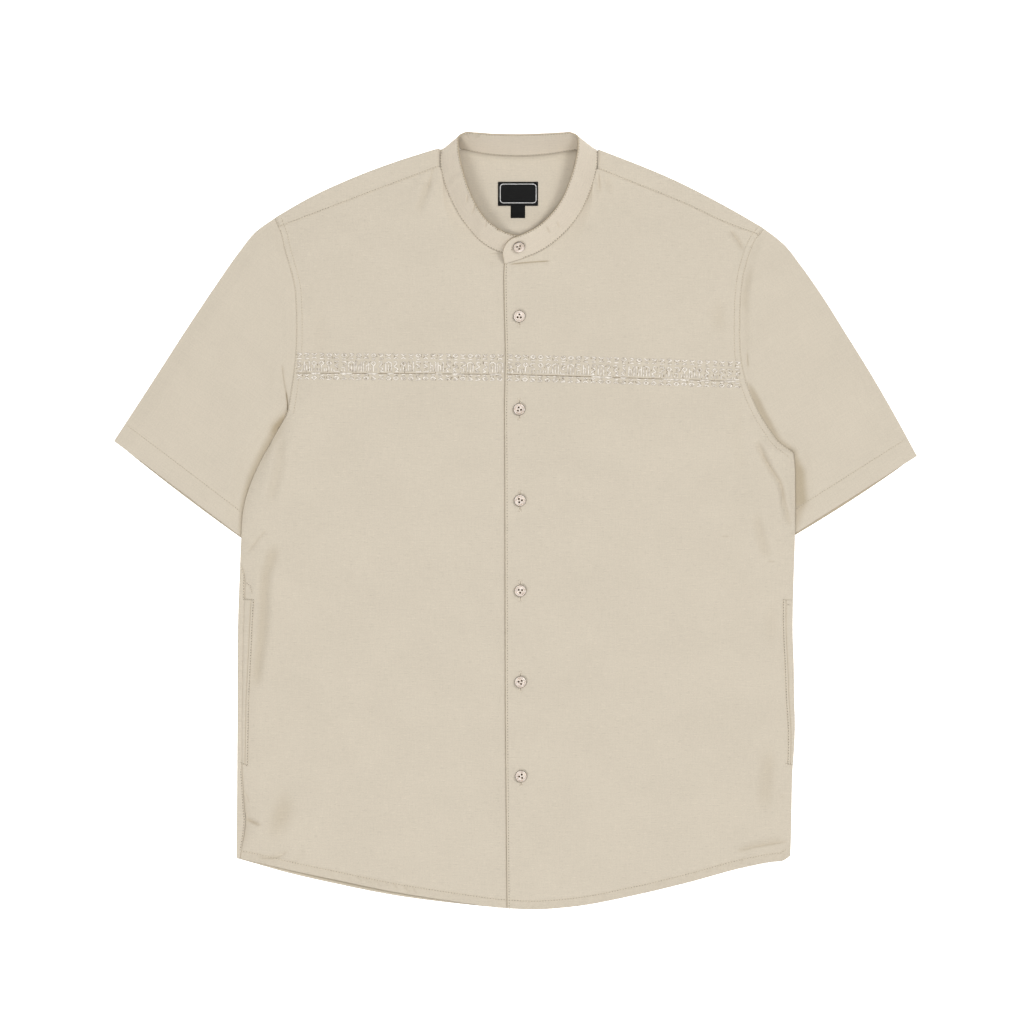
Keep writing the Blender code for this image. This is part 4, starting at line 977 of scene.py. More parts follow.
def welt_sheet(name, half, side_edge, front, material):
    """A narrow pocket welt that lies on a front beside its side seam, with a seam line pressed into it."""
    outer = between(side_edge, POCKET_TOP_Y, POCKET_BOTTOM_Y)
    outer = spread(outer, 110)
    seam = at_height(half["welt"], outer[:, 1])[:, None]
    ones = np.ones_like(seam)
    depth = np.concatenate([ones * [0.0, 0.3, 0.8], 0.8 + (seam - 1.5) * [0.25, 0.5, 0.75, 1.0],
                            seam + [-0.35, 0.0, 0.35, 0.7, 1.2, 1.8, 2.2, 2.5, WELT_EDGE]], axis=1)
    grid = outer[:, None] + (moved_left(outer, half["inward"]) - outer)[:, None] * depth[:, :, None]
    height = laid_height(front, grid)
    gap = np.minimum(depth, seam + WELT_EDGE - depth)
    ends = np.minimum(length_shares(outer), 1 - length_shares(outer))[:, None] * line_length(outer)
    height = height + WELT_RISE - 0.3 * np.exp(-(np.minimum(gap, ends) / 0.5) ** 2)
    height -= 0.4 * np.exp(-((depth - seam) / 0.36) ** 2)
    # painted shade: a dark line along the welt's seam
    shade = 0.7 * np.exp(-((depth - seam) / 0.5) ** 2)
    return cut_cloth(name, [(raised(grid, height), grid, shade)], CLOTH, material)


def sleeve_sheet(name, half, rim, material):
    """A sleeve laid flat: two layers joined by folds along the top and the underarm."""
    inward = half["inward"]
    arm = curve(half["armhole"], 300)
    tucked = moved_left(arm, inward * SEAM_TUCK * ease(np.linspace(0.0, 8.0, 300)))
    start = along_line(tucked, graded(line_length(tucked), PLAIN_STEPS, PLAIN_STEPS, SLEEVE_STEP))
    top_line = moved_left(curve(half["sleeve_fold"], 200), inward * SILHOUETTE_INSET)
    top_line[0] = start[0]
    bottom_line = curve([start[-1], *half["underarm"]], 120)
    end = top_line[-1] + (bottom_line[-1] - top_line[-1]) * length_shares(start)[:, None]
    widths = np.linalg.norm(end - start, axis=1)
    shares = column_shares(widths, ARM_STEPS, SLEEVE_HEM_STEPS, SLEEVE_STEP)
    top = along_line(top_line, shares[0] * line_length(top_line))
    bottom = along_line(bottom_line, shares[-1] * line_length(bottom_line))
    grid = blended_grid(top, bottom, start, end, shares)
    x, y = grid[..., 0], grid[..., 1]
    v = length_shares(start)[:, None]
    clear = 1.0 - tuck_share(x, y, SLEEVE_TUCK_SLOPE)
    gap, turned, along = near_line(x, y, arm[::6])
    # the grid folds over itself near the armhole's lower end, so no loft stands on the armhole's inner side
    within = (turned * inward > 0) * ease((y - arm[-1, 1]) / 8.0)
    across = np.minimum(np.minimum(shares, 1 - shares) * widths[:, None], gap * (1.0 - within))
    ends = np.minimum(v, 1 - v) * line_length(start)
    shape = LOFT * ease(across / SLEEVE_LOFT_REACH) * ease(ends / LOFT_REACH)
    height = FRONT_HEIGHT + shape * clear
    level = np.interp(arm[:, 1], rim[::-1, 0], rim[::-1, 1]) - FRONT_HEIGHT
    level -= at_height(half["step"], arm[:, 1])
    rise = np.interp(along, np.linspace(0, line_length(arm), 300), level)
    height += rise * (1.0 - ease(gap / ARM_REACH)) * ease(np.hypot(x - arm[-1, 0], y - arm[-1, 1]) / 9.0)
    free = ease(shares * widths[:, None] / 1.5) * ease(v / 0.02)
    height += crease_height(x, y, half["sleeve_creases"]) * free
    height = np.maximum(height, FRONT_HEIGHT - DEEPEST_CREASE)
    height += plain_edge(gap, along, 71 + inward, drop=0.1) * ease(v / 0.02)
    body_edge = np.concatenate([arm, side_line(half["side"])[1:200]])[::5]
    # painted shade in the creases and beside the body's edge over the sleeve
    shade = crease_shade(x, y, half["sleeve_creases"]) + edge_shade(x, y, body_edge, half["sleeve_painted_shade"])
    edge_gap = (1 - shares) * widths[:, None]
    run = v * line_length(start)
    height += sewn_edge(edge_gap, run, SLEEVE_HEM_STITCH, 75 + inward, roll=0.2, doubled=0.2, dip=0.1,
                        pucker=0.12) * ease(v / 0.01)
    turn = math.radians(half["grain"])
    from_arm = grid - arm[150]
    plan = np.stack([from_arm @ (math.cos(turn), math.sin(turn)),
                     from_arm @ (-math.sin(turn), math.cos(turn))], axis=-1)
    front = raised(grid, height)
    low = np.full(len(top), BACK_HEIGHT)
    peek = np.sin(math.pi * np.clip((v - 0.08) / 0.92, 0, 1)) ** 0.7 * half["peek"]
    outward = (end - start) / widths[:, None]
    back_grid = grid + outward[:, None, :] * (peek * ease(1 - edge_gap / 60.0))[:, :, None]
    back = raised(back_grid, BACK_HEIGHT)
    top_fold = fold_rows(top, -inward, low, front[0, :, 2])
    bottom_fold = fold_rows(bottom, inward, low, front[-1, :, 2])
    # painted shade on the under layer where it shows beyond the upper one's hem
    beneath = half["peek_shade"] * (1.0 - ease(edge_gap / 8.0))
    patches = [(front, plan, shade), (back, plan, beneath),
               (top_fold, np.broadcast_to(plan[0], (len(top_fold), len(top), 2)).copy()),
               (bottom_fold, np.broadcast_to(plan[-1], (len(bottom_fold), len(bottom), 2)).copy())]
    cloth = cut_cloth(name, patches, CLOTH, material, half["sleeve_thin"], (BACK_HEIGHT + FRONT_HEIGHT) / 2)
    return cloth, {"hem": end, "outward": outward, "body_edge": body_edge}


def band_surface(shares, heights):
    """Points of the band's middle surface, a row for each height share, and how tall the band is."""
    rows = smooth(BAND, shares)
    foot = rows[:, :3] - np.array([0.0, 0.0, BAND_DROP])
    top = np.concatenate([rows[:, 3:5], (rows[:, 2] + rows[:, 5])[:, None]], axis=1)
    length = np.linalg.norm(np.diff(np.array(BAND)[:, :2], axis=0), axis=1).sum()
    tall = np.linalg.norm(top - foot, axis=1)
    left = np.clip(BAND_END_RADIUS - (1.0 - shares) * length, 0.0, BAND_END_RADIUS)
    full = 1.0 - (BAND_END_RADIUS - np.sqrt(BAND_END_RADIUS**2 - left**2)) / tall
    points = foot[None] + (top - foot)[None] * full[None, :, None] * np.asarray(heights)[:, None, None]
    along = np.gradient(foot, axis=0)
    normal = np.cross(along, top - foot)
    normal /= np.linalg.norm(normal, axis=1)[:, None]
    bumps = sum(size * np.exp(-((shares * length - place) / half_width) ** 2)
                for place, half_width, size in CREASES_BAND)
    rise = np.sin(math.pi * np.asarray(heights) ** 0.8) + 0.4 * np.asarray(heights)
    points = points + normal[None] * bumps[None, :, None] * rise[:, None, None]
    return points, full * tall


def band_sheet(name, material):
    """The collar band: two layers of cloth and their interlining, as one thick strip."""
    length = np.linalg.norm(np.diff(np.array(BAND)[:, :2], axis=0), axis=1).sum()
    turns = np.linspace(0.0, math.pi / 2, 16)
    rounded = 1.0 - BAND_END_RADIUS * (1 - np.sin(turns)) / length
    shares = np.concatenate([np.linspace(0.0, rounded[0], 200)[:-1], rounded])
    heights = np.array([0.0, 0.02, 0.05, 0.09, 0.14, 0.2, 0.28, 0.36, 0.44, 0.52, 0.6, 0.68, 0.76, 0.83,
                        0.88, 0.92, 0.95, 0.975, 1.0])
    points, tall = band_surface(shares, heights)
    plan = np.stack(np.broadcast_arrays(shares[None, :] * length, heights[:, None] * BAND_TALL), axis=-1)
    from_top = (1.0 - heights)[:, None] * tall[None, :]
    from_end = (shares[-1] - shares)[None, :] * length
    # painted shade: a thin dark line along the band's top edge and its visible end
    shade = BAND_EDGE_SHADE * np.exp(-(np.minimum(from_top, from_end) / 0.45) ** 2)
    return cut_cloth(name, [(points, plan, shade)], BAND_CLOTH, material, THIN_BAND)


# Thread and embroidery

def cast_on(piece, points, below=False):
    """Where straight lines down on a piece (or up from below it) meet it: points and normals, in mm."""
    if piece.name not in SEARCH_TREES:
        SEARCH_TREES[piece.name] = BVHTree.FromObject(piece, bpy.context.evaluated_depsgraph_get())
    tree = SEARCH_TREES[piece.name]
    height = -0.1 if below else 0.1
    way = Vector((0.0, 0.0, 1.0 if below else -1.0))
    found = np.full((len(points), 3), np.nan)
    normals = np.zeros((len(points), 3))
    normals[:, 2] = -1.0 if below else 1.0
    for index, (x, y) in enumerate(points):
        hit, normal = tree.ray_cast(Vector((x * MM, y * MM, height)), way)[:2]
        if hit:
            found[index] = np.array(hit) / MM
            normals[index] = normal
    return found, normals


def laid_height(piece, grid):
    """Height of a piece's upper face under each plan point of a grid, evened out along its rows."""
    flat = grid.reshape(-1, 2)
    height = cast_on(piece, flat)[0][:, 2]
    missed = np.isnan(height)
    height[missed] = np.interp(np.flatnonzero(missed), np.flatnonzero(~missed), height[~missed])
    return height.reshape(grid.shape[:2])


def laid_line(pieces, path, step=0.8, below=False):
    """A line drawn on the cloth: its points and normals on whichever piece comes first."""
    path = np.asarray(path, dtype=float)
    count = max(3, math.ceil(line_length(path) / step) + 1)
    plan = along_line(path, np.linspace(0.0, line_length(path), count))
    best, normals = cast_on(pieces[0], plan, below)
    for piece in pieces[1:]:
        found, turned = cast_on(piece, plan, below)
        ahead = found[:, 2] < best[:, 2] if below else found[:, 2] > best[:, 2]
        use = (ahead | np.isnan(best[:, 2])) & ~np.isnan(found[:, 2])
        best[use] = found[use]
        normals[use] = turned[use]
    kept = ~np.isnan(best[:, 2])
    return best[kept], normals[kept]


def stitch_frames(points, normals, pitch=STITCH_PITCH, length=STITCH_LENGTH, width=STITCH_HALF_WIDTH,
                  height=STITCH_HALF_HEIGHT, dark=1.0, seed=0):
    """Stitches along a line on the cloth: middles, axes (along, across, out), darkness of the painted shade
    at their needle holes.
    """
    if len(points) < 3:
        return np.zeros((0, 3)), np.zeros((0, 3, 3)), np.zeros(0)
    draw = np.random.default_rng(seed)
    places = np.arange(pitch / 2, line_length(points) - pitch / 3, pitch)
    places = places + draw.normal(0.0, 0.04 * pitch, len(places))
    middle = along_line(points, places)
    run = along_line(points, places + length / 2) - along_line(points, places - length / 2)
    run /= np.linalg.norm(run, axis=1)[:, None]
    distance = travelled(points)
    out = np.stack([np.interp(places, distance, column) for column in normals.T], axis=1)
    out -= run * np.sum(out * run, axis=1)[:, None]
    out /= np.linalg.norm(out, axis=1)[:, None]
    sizes = draw.normal(1.0, 0.06, (len(places), 3)) * np.array([length / 2, width, height])
    axes = np.stack([run, np.cross(out, run), out], axis=1) * sizes[:, :, None]
    return middle, axes, np.clip(dark * draw.normal(1.0, 0.3, len(places)), 0.0, 1.0)


def sewn_thread(name, rows, material, painted_shades=()):
    """The stitches of some rows as one mesh: copies of a short thread whose ends go down into the cloth."""
    bpy.ops.object.select_all(action="DESELECT")
    bpy.ops.mesh.primitive_cylinder_add(vertices=6, radius=1.0, depth=1.24)
    bpy.ops.object.mode_set(mode="EDIT")
    bpy.ops.mesh.select_all(action="SELECT")
    bpy.ops.transform.rotate(value=math.pi / 2, orient_axis="Y", center_override=(0.0, 0.0, 0.0))
    bpy.ops.object.mode_set(mode="OBJECT")
    seed = bpy.context.object
    extrude_ends(seed, 0.38, 0.85)
    shape = np.array([vertex.co for vertex in seed.data.vertices])
    faces = [list(face.vertices) for face in seed.data.polygons]
    bpy.data.objects.remove(seed)
    middles = np.concatenate([row[0] for row in rows])
    axes = np.concatenate([row[1] for row in rows])
    dark = np.concatenate([row[2] for row in rows])
    points = (np.einsum("pa,sac->spc", shape, axes) + middles[:, None]) * MM
    offsets = np.arange(len(middles)) * len(shape)
    mesh = bpy.data.meshes.new(name)
    mesh.from_pydata(points.reshape(-1, 3).tolist(), [],
                     [[corner + offset for corner in face] for offset in offsets.tolist() for face in faces])
    # the ends of each stitch are painted dark as shade at its needle holes, and on the sleeves a stitch also
    # takes a little of the painted shade of the cloth beneath it
    sunk = mesh.attributes.new("sunk", "FLOAT", "POINT")
    ends = (np.abs(shape[:, 0]) > 0.9).astype(float)
    ground = sum([edge_shade(middles[:, 0], middles[:, 1], line, painted_shade) for line, painted_shade in painted_shades], 0.0)
    shade = np.maximum(dark[:, None] * ends[None], 0.14 * np.broadcast_to(ground, len(middles))[:, None])
    sunk.data.foreach_set("value", shade.ravel())
    mesh.shade_smooth()
    return link_mesh(name, mesh, material)


def extrude_ends(thread, reach, narrowing):
    """Draws both ends of a short cylinder along X further out, narrower, so that they round off."""
    for end in (-1, 1):
        select_only(thread)
        for face in thread.data.polygons:
            face.select = face.normal.x * end > 0.9
        for edge in thread.data.edges:
            edge.select = False
        for vertex in thread.data.vertices:
            vertex.select = vertex.co.x * end > 0.5
        bpy.ops.object.mode_set(mode="EDIT")
        bpy.ops.mesh.select_mode(type="FACE")
        bpy.ops.mesh.extrude_region_move(TRANSFORM_OT_translate={"value": (end * reach, 0.0, 0.0)})
        bpy.ops.transform.resize(value=(1.0, narrowing, narrowing), center_override=(end, 0.0, -0.6))
        bpy.ops.object.mode_set(mode="OBJECT")


def embroidered(name, strokes, half_width, half_height, material):
    """Satin-stitched strokes as one mesh: low rounded ribbons along lines of points and normals."""
    arch = np.linspace(math.pi, 0.0, 6)
    points = []
    faces = []
    weave = []
    for line, normals in strokes:
        if len(line) < 2:
            continue
        first = len(points)
        run = np.gradient(line, axis=0)
        run /= np.linalg.norm(run, axis=1)[:, None]
        across = np.cross(normals, run)
        across /= np.linalg.norm(across, axis=1)[:, None]
        length = travelled(line)
        taper = 0.35 + 0.65 * ease(np.minimum(length, length[-1] - length) / 0.5 + 0.15)
        for place, side, normal, share, along in zip(line, across, normals, taper, length):
            for turn in arch:
                offset = side * half_width * share * math.cos(turn)
                lift = normal * (half_height * share * math.sin(turn) - 0.05)
                points.append(tuple((place + offset + lift) * MM))
                weave.append((along * MM, half_width * math.cos(turn) * MM))
        count = len(arch)
        for row in range(len(line) - 1):
            start = first + row * count
            faces += [(start + c, start + c + 1, start + count + c + 1, start + count + c)
                      for c in range(count - 1)]
        last = first + (len(line) - 1) * count
        faces.append(tuple(range(first + count - 1, first - 1, -1)))
        faces.append(tuple(range(last, last + count)))
    mesh = bpy.data.meshes.new(name)
    mesh.from_pydata(points, [], faces)
    lay_weave(mesh, weave)
    mesh.shade_smooth()
    return link_mesh(name, mesh, material)


def chest_strokes(front, middle_line, seed):
    """Strokes of the chest band on one front: a row of motifs between two borders, and a rail below it;
    light strokes, and dark ones that paint the shade between them.
    """
    draw = np.random.default_rng(seed)
    line = np.asarray(middle_line, dtype=float)
    total = line_length(line)
    light = []
    shaded = []

    def place(stroke, along, level):
        shape = np.asarray(stroke)
        foot = along_line(line, np.clip(along + shape[:, 0], 0.0, total))
        before, after = along_line(line, np.clip([along - 1.0, along + 1.0], 0.0, total))
        ahead = (after - before) / np.linalg.norm(after - before)
        return foot + np.array([-ahead[1], ahead[0]]) * (shape[:, 1] + level)[:, None]

    count = int(total // CHEST_PITCH)
    pitch = total / count
    motifs = draw.integers(0, len(CHEST_MOTIFS), count)
    for index in range(count):
        along = (index + 0.5) * pitch
        side = draw.choice((-0.95, 0.95))
        light += [place([(x * side, y) for x, y in stroke], along, 0.0)
                  for stroke in CHEST_MOTIFS[motifs[index]]]
        for level in CHEST_BORDERS:
            motif = BORDER_MOTIFS[(motifs[index] + index + (level > 0)) % len(BORDER_MOTIFS)]
            flip = 1.0 if level > 0 else -1.0
            light += [place([(x * 0.9, y * flip) for x, y in stroke], along, level) for stroke in motif]
        # short dark strokes between the light ones: painted shade of the gaps between them
        for level, number in ((3.0, 4), (-3.2, 4), (CHEST_BORDERS[0], 4), (CHEST_BORDERS[1], 4)):
            for _ in range(number):
                middle = draw.uniform((-3.4, -2.4), (3.4, 2.4))
                reach = draw.uniform((-0.5, -1.1), (0.5, 1.1))
                shaded.append(place([middle - reach, middle + reach], along, level))
    along = 0.0
    while along < total - 6.0:
        reach = draw.uniform(5.0, 12.0)
        stroke = place([(0.0, 0.0), (min(reach, total - along - 1.0), 0.0)], along, CHEST_RAIL)
        # the rail's dark dashes are painted shade
        (light if draw.random() < 0.4 else shaded).append(stroke)
        along += reach
    return [[laid_line([front], stroke, 0.9) for stroke in strokes] for strokes in (light, shaded)]


# Buttons

def turned_button():
    """The mesh of a button turned in one piece: a rim round a sunk middle with three drilled holes."""
    bpy.ops.object.select_all(action="DESELECT")
    radius, level = BUTTON_PROFILE[0]
    bpy.ops.mesh.primitive_circle_add(vertices=48, radius=radius * MM, fill_type="NGON")
    button = bpy.context.object
    bpy.ops.object.mode_set(mode="EDIT")
    bpy.ops.mesh.select_all(action="SELECT")
    for next_radius, next_level in BUTTON_PROFILE[1:]:
        rise = (0.0, 0.0, (next_level - level) * MM)
        bpy.ops.mesh.extrude_region_move(TRANSFORM_OT_translate={"value": rise})
        grow = next_radius / radius
        bpy.ops.transform.resize(value=(grow, grow, 1.0), center_override=(0.0, 0.0, next_level * MM))
        radius, level = next_radius, next_level
    bpy.ops.mesh.select_all(action="SELECT")
    bpy.ops.mesh.normals_make_consistent(inside=False)
    bpy.ops.object.mode_set(mode="OBJECT")
    for x, y in BUTTON_HOLES:
        bpy.ops.mesh.primitive_cylinder_add(vertices=20, radius=BUTTON_HOLE_RADIUS * MM, depth=8 * MM,
                                            location=(x * MM, y * MM, 0.0))
        drill = bpy.context.object
        hole = button.modifiers.new("hole", "BOOLEAN")
        hole.operation = "DIFFERENCE"
        hole.object = drill
        apply_modifiers(button)
        bpy.data.objects.remove(drill)
    mesh = button.data
    spots = np.array([vertex.co for vertex in mesh.vertices]) / MM
    # how far out each point lies, which the resin uses to paint the dark outline of shade round the rim
    rim = mesh.attributes.new("rim", "FLOAT", "POINT")
    rim.data.foreach_set("value", np.hypot(spots[:, 0], spots[:, 1]) / BUTTON_RADIUS)
    select_only(button)
    bpy.ops.object.shade_smooth_by_angle(angle=math.radians(38.0))
    bpy.data.objects.remove(button)
    return mesh


def button_thread(place):
    """Frames of the stitches between a button's holes, of a dark thread upright in each hole that paints its
    shade, and of the short shank beneath it.
    """
    frames = []
    corners = [Vector((x, y, 0.0)) for x, y in BUTTON_HOLES]
    for start, end in zip(corners, corners[1:] + corners[:1]):
        run = end - start
        across = Vector((-run.y, run.x, 0.0)).normalized()
        middle = (start + end) / 2 + Vector((0.0, 0.0, 1.5))
        frames.append((middle, run * 0.2, across * 0.14, (0.0, 0.0, 0.22)))
        # a dark thread upright in the hole: painted shade, so that the hole looks dark
        frames.append((start + Vector((0.0, 0.0, 0.8)), (0.0, 0.0, 0.4), (1.0, 0.0, 0.0), (0.0, 1.0, 0.0)))
    for angle in np.arange(5) * 2 * math.pi / 5:
        frames.append((Vector((0.7 * math.cos(angle), 0.7 * math.sin(angle), -0.3)), (0.0, 0.0, 0.9),
                       (0.45, 0.0, 0.0), (0.0, 0.45, 0.0)))
    turn = place.to_3x3()
    return (np.array([place @ middle for middle, *_ in frames]),
            np.array([[turn @ Vector(axis) for axis in axes] for _, *axes in frames]),
            np.tile([0.1, 1.0], len(frames))[:len(frames)])


# Labels

def label_sheet(name, measures, base, lift, material):
    """A woven label that lies on the inside of the yoke."""
    x, y, width, height = measures
    across = np.linspace(x - width / 2, x + width / 2, max(6, round(width / 1.3)))
    down = np.linspace(y + height / 2, y - height / 2, max(6, round(height / 1.3)))
    grid = np.stack(np.meshgrid(across, down), axis=-1)
    wave = 0.12 * np.sin(grid[..., 0] / 5.1 + 0.7) * np.sin(grid[..., 1] / 6.3)
    level = laid_height(base, grid) + lift + wave
    return cut_cloth(name, [(raised(grid, level), grid)], LABEL_CLOTH, material)


def label_border():
    """The plain border woven into the neck label: a rectangle with rounded corners."""
    x, y, width, height, radius = LABEL_BORDER
    path = []
    for turn, (side_x, side_y) in enumerate(((1, 1), (-1, 1), (-1, -1), (1, -1))):
        for angle in np.linspace(turn, turn + 1, 7) * math.pi / 2:
            path.append((x + side_x * (width / 2 - radius) + radius * math.cos(angle),
                         y + side_y * (height / 2 - radius) + radius * math.sin(angle)))
    return path + path[:1]


# Rows of sewing

def row(pieces, path, seed, below=False, **sizes):
    """A row of stitches along a plan line, on whichever of the pieces is outermost."""
    return stitch_frames(*laid_line(pieces, path, below=below), seed=seed, **sizes)


def body_rows():
    """Topstitching on the upper side of the body: armholes, shoulders, hem, placket and pockets."""
    rows = []
    for seed, half, lines, front, welt in ((100, LEFT, lower_lines, front_lower, welt_left),
                                           (120, RIGHT, upper_lines, front_upper, welt_right)):
        inward = half["inward"]
        arm = curve(half["armhole"], 300, 0.01)
        for offset in (SEAM_STITCH, ARMHOLE_STITCH):
            rows.append(row([front, yoke], moved_left(arm, inward * offset), seed + 1, dark=0.25))
        seam = curve(half["seam"], 120)
        rows.append(row([yoke, front], moved_left(seam, inward * SEAM_STITCH), seed + 2, dark=0.4))
        rows.append(row([front], moved_left(lines["hem"], inward * HEM_STITCH), seed + 3, dark=0.4))
        side = lines["side"]
        pocket = moved_left(side, inward * (at_height(half["welt"], side[:, 1]) + WELT_STITCH))
        rows.append(row([welt, front], between(pocket, POCKET_TOP_Y, POCKET_BOTTOM_Y), seed + 4))
    placket = moved_left(upper_lines["edge"], PLACKET_STITCH)
    rows.append(row([front_upper], placket, 141))
    beside = moved_left(lower_lines["side"], -SEAM_STITCH)
    for number, (high, low) in enumerate(SIDE_STITCHED_LEFT):
        rows.append(row([back, front_lower], between(beside, high, low), 143 + number))
    for number, bar in enumerate(POCKET_BARS):
        under = [welt_left, welt_right, front_lower, front_upper, back]
        rows.append(row(under, bar, 151 + number, pitch=1.9, length=1.7))
    return rows


def sleeve_rows():
    """The hem stitching of both sleeves, on their upper and under layers."""
    rows = []
    for sleeve, lines, seed in ((sleeve_left, sleeve_left_lines, 161),
                                (sleeve_right, sleeve_right_lines, 165)):
        path = lines["hem"] - lines["outward"] * SLEEVE_HEM_STITCH
        rows.append(row([sleeve], path, seed, dark=0.3))
        rows.append(row([sleeve], path, seed + 1, below=True))
    return rows


def under_rows():
    """Topstitching on the side that the shirt lies on: back hem, yoke seam and armholes."""
    rows = [row([back], moved_left(back_lines["hem"], HEM_STITCH), 171, below=True)]
    seam = np.array([back_lines["top"][0], back_lines["top"][-1]]) + np.array([0.0, SEAM_STITCH])
    rows.append(row([yoke], seam, 172, below=True))
    for half in (LEFT, RIGHT):
        arm = curve(half["armhole"], 300, 0.01)
        for offset in (SEAM_STITCH, ARMHOLE_STITCH):
            path = moved_left(arm, half["inward"] * offset)
            rows.append(row([back, yoke], path, 175 + half["inward"], below=True))
    return rows


def band_face(shares, height, outside):
    """A line along a face of the collar band: its points and normals."""
    below, points, above = band_surface(shares, [height - 0.02, height, min(1.0, height + 0.02)])[0]
    ahead = np.gradient(points, axis=0)
    upward = above - below
    normals = np.cross(upward, ahead) if outside else np.cross(ahead, upward)
    normals /= np.linalg.norm(normals, axis=1)[:, None]
    return points + normals * BAND_CLOTH / 2, normals


def collar_rows():
    """Stitching of the collar band: along its seam and just inside its upper edge, on both faces."""
    rows = []
    shares = np.linspace(0.004, 0.962, 500)
    for outside in (True, False):
        for height in BAND_STITCH_HEIGHTS:
            rows.append(stitch_frames(*band_face(shares, height, outside), pitch=2.8, length=2.6,
                                      width=0.46, seed=181 + 2 * outside))
    return rows


def satin_frames(points, normals, pitch, reach, seed):
    """Stitches laid side by side across a line."""
    return stitch_frames(points, normals, pitch=pitch, length=pitch * 1.25, width=reach / 2, height=0.24,
                         seed=seed)


def joined(frames):
    """Several sets of stitches as one."""
    return tuple(np.concatenate(parts) for parts in zip(*frames))


def buttonhole_frames(place, reach):
    """A buttonhole behind a button: satin stitches down both sides of its slit and a bar at each end."""
    (x, y), (above, below) = place, reach
    seed = int(200 + abs(y))
    frames = []
    for side in (-1, 1):
        beside = x + side * (BUTTONHOLE_HALF_WIDTH + BUTTONHOLE_SLIT) / 2
        path = [(beside, y + above), (beside, y - below)]
        frames.append(satin_frames(*laid_line([front_upper], path, 0.5), BUTTONHOLE_PITCH,
                                   BUTTONHOLE_HALF_WIDTH - BUTTONHOLE_SLIT, seed + side))
    for level in (y + above, y - below):
        bar = [(x - BUTTONHOLE_HALF_WIDTH, level), (x + BUTTONHOLE_HALF_WIDTH, level)]
        frames.append(satin_frames(*laid_line([front_upper], bar, 0.4), BUTTONHOLE_PITCH, 1.5, seed + 7))
    return joined(frames)


def buttonhole_slits():
    """The slits between the rows of the buttonholes, where a dark ribbon paints their shade."""
    return [[(x, y + above - 1.0), (x, y - below + 1.0)]
            for (x, y), (above, below) in zip(BUTTON_PLACES, BUTTONHOLES)]


def collar_buttonhole():
    """The buttonhole in the visible end of the collar band, along the band."""
    ends = [share_where(BAND, 0, x, start=0.9) for x in COLLAR_BUTTONHOLE]
    shares = np.linspace(min(ends), max(ends), 30)
    frames = [satin_frames(*band_face(shares, COLLAR_BUTTON_HEIGHT + side * 0.03, True), BUTTONHOLE_PITCH,
                           1.2, 231 + side) for side in (-1, 1)]
    return joined(frames)


def collar_button_place():
    """Where the collar's button sits: its middle on the band's outer face, turned with the band."""
    share = share_where(BAND, 0, COLLAR_BUTTON_X, start=0.9)
    points, normals = band_face(np.linspace(share - 0.004, share + 0.004, 5), COLLAR_BUTTON_HEIGHT, True)
    along = Vector(points[3] - points[1]).normalized()
    out = Vector(normals[2])
    across = out.cross(along).normalized()
    middle = Vector(points[2]) + out * COLLAR_BUTTON_SEAT
    turn = Matrix((along, across, out)).transposed().to_4x4()
    return Matrix.Translation(middle) @ turn


# Materials

# At this scale a wave texture has one wave for each unit of length
WAVE_SCALE = 0.314


def linear(hex_colour):
    """An sRGB hex colour as linear red, green, blue and alpha."""
    values = [int(hex_colour[i:i + 2], 16) / 255 for i in (0, 2, 4)]
    return (*[v / 12.92 if v <= 0.04045 else ((v + 0.055) / 1.055) ** 2.4 for v in values], 1.0)


def fill(tree, node, inputs):
    """Gives a node's inputs, by name or in order, their values or the outputs that lead into them."""
    for name, value in inputs.items() if isinstance(inputs, dict) else enumerate(inputs):
        if isinstance(value, bpy.types.NodeSocket):
            tree.links.new(value, node.inputs[name])
        else:
            node.inputs[name].default_value = value


def add_node(tree, kind, inputs=(), **settings):
    """A shader node with its settings and inputs."""
    made = tree.nodes.new("ShaderNode" + kind)
    for name, value in settings.items():
        setattr(made, name, value)
    fill(tree, made, inputs)
    return made


def new_material(name):
    """A material with a Principled shader, its tree and that shader."""
    material = bpy.data.materials.new(name)
    material.use_nodes = True
    return material, material.node_tree, material.node_tree.nodes["Principled BSDF"]


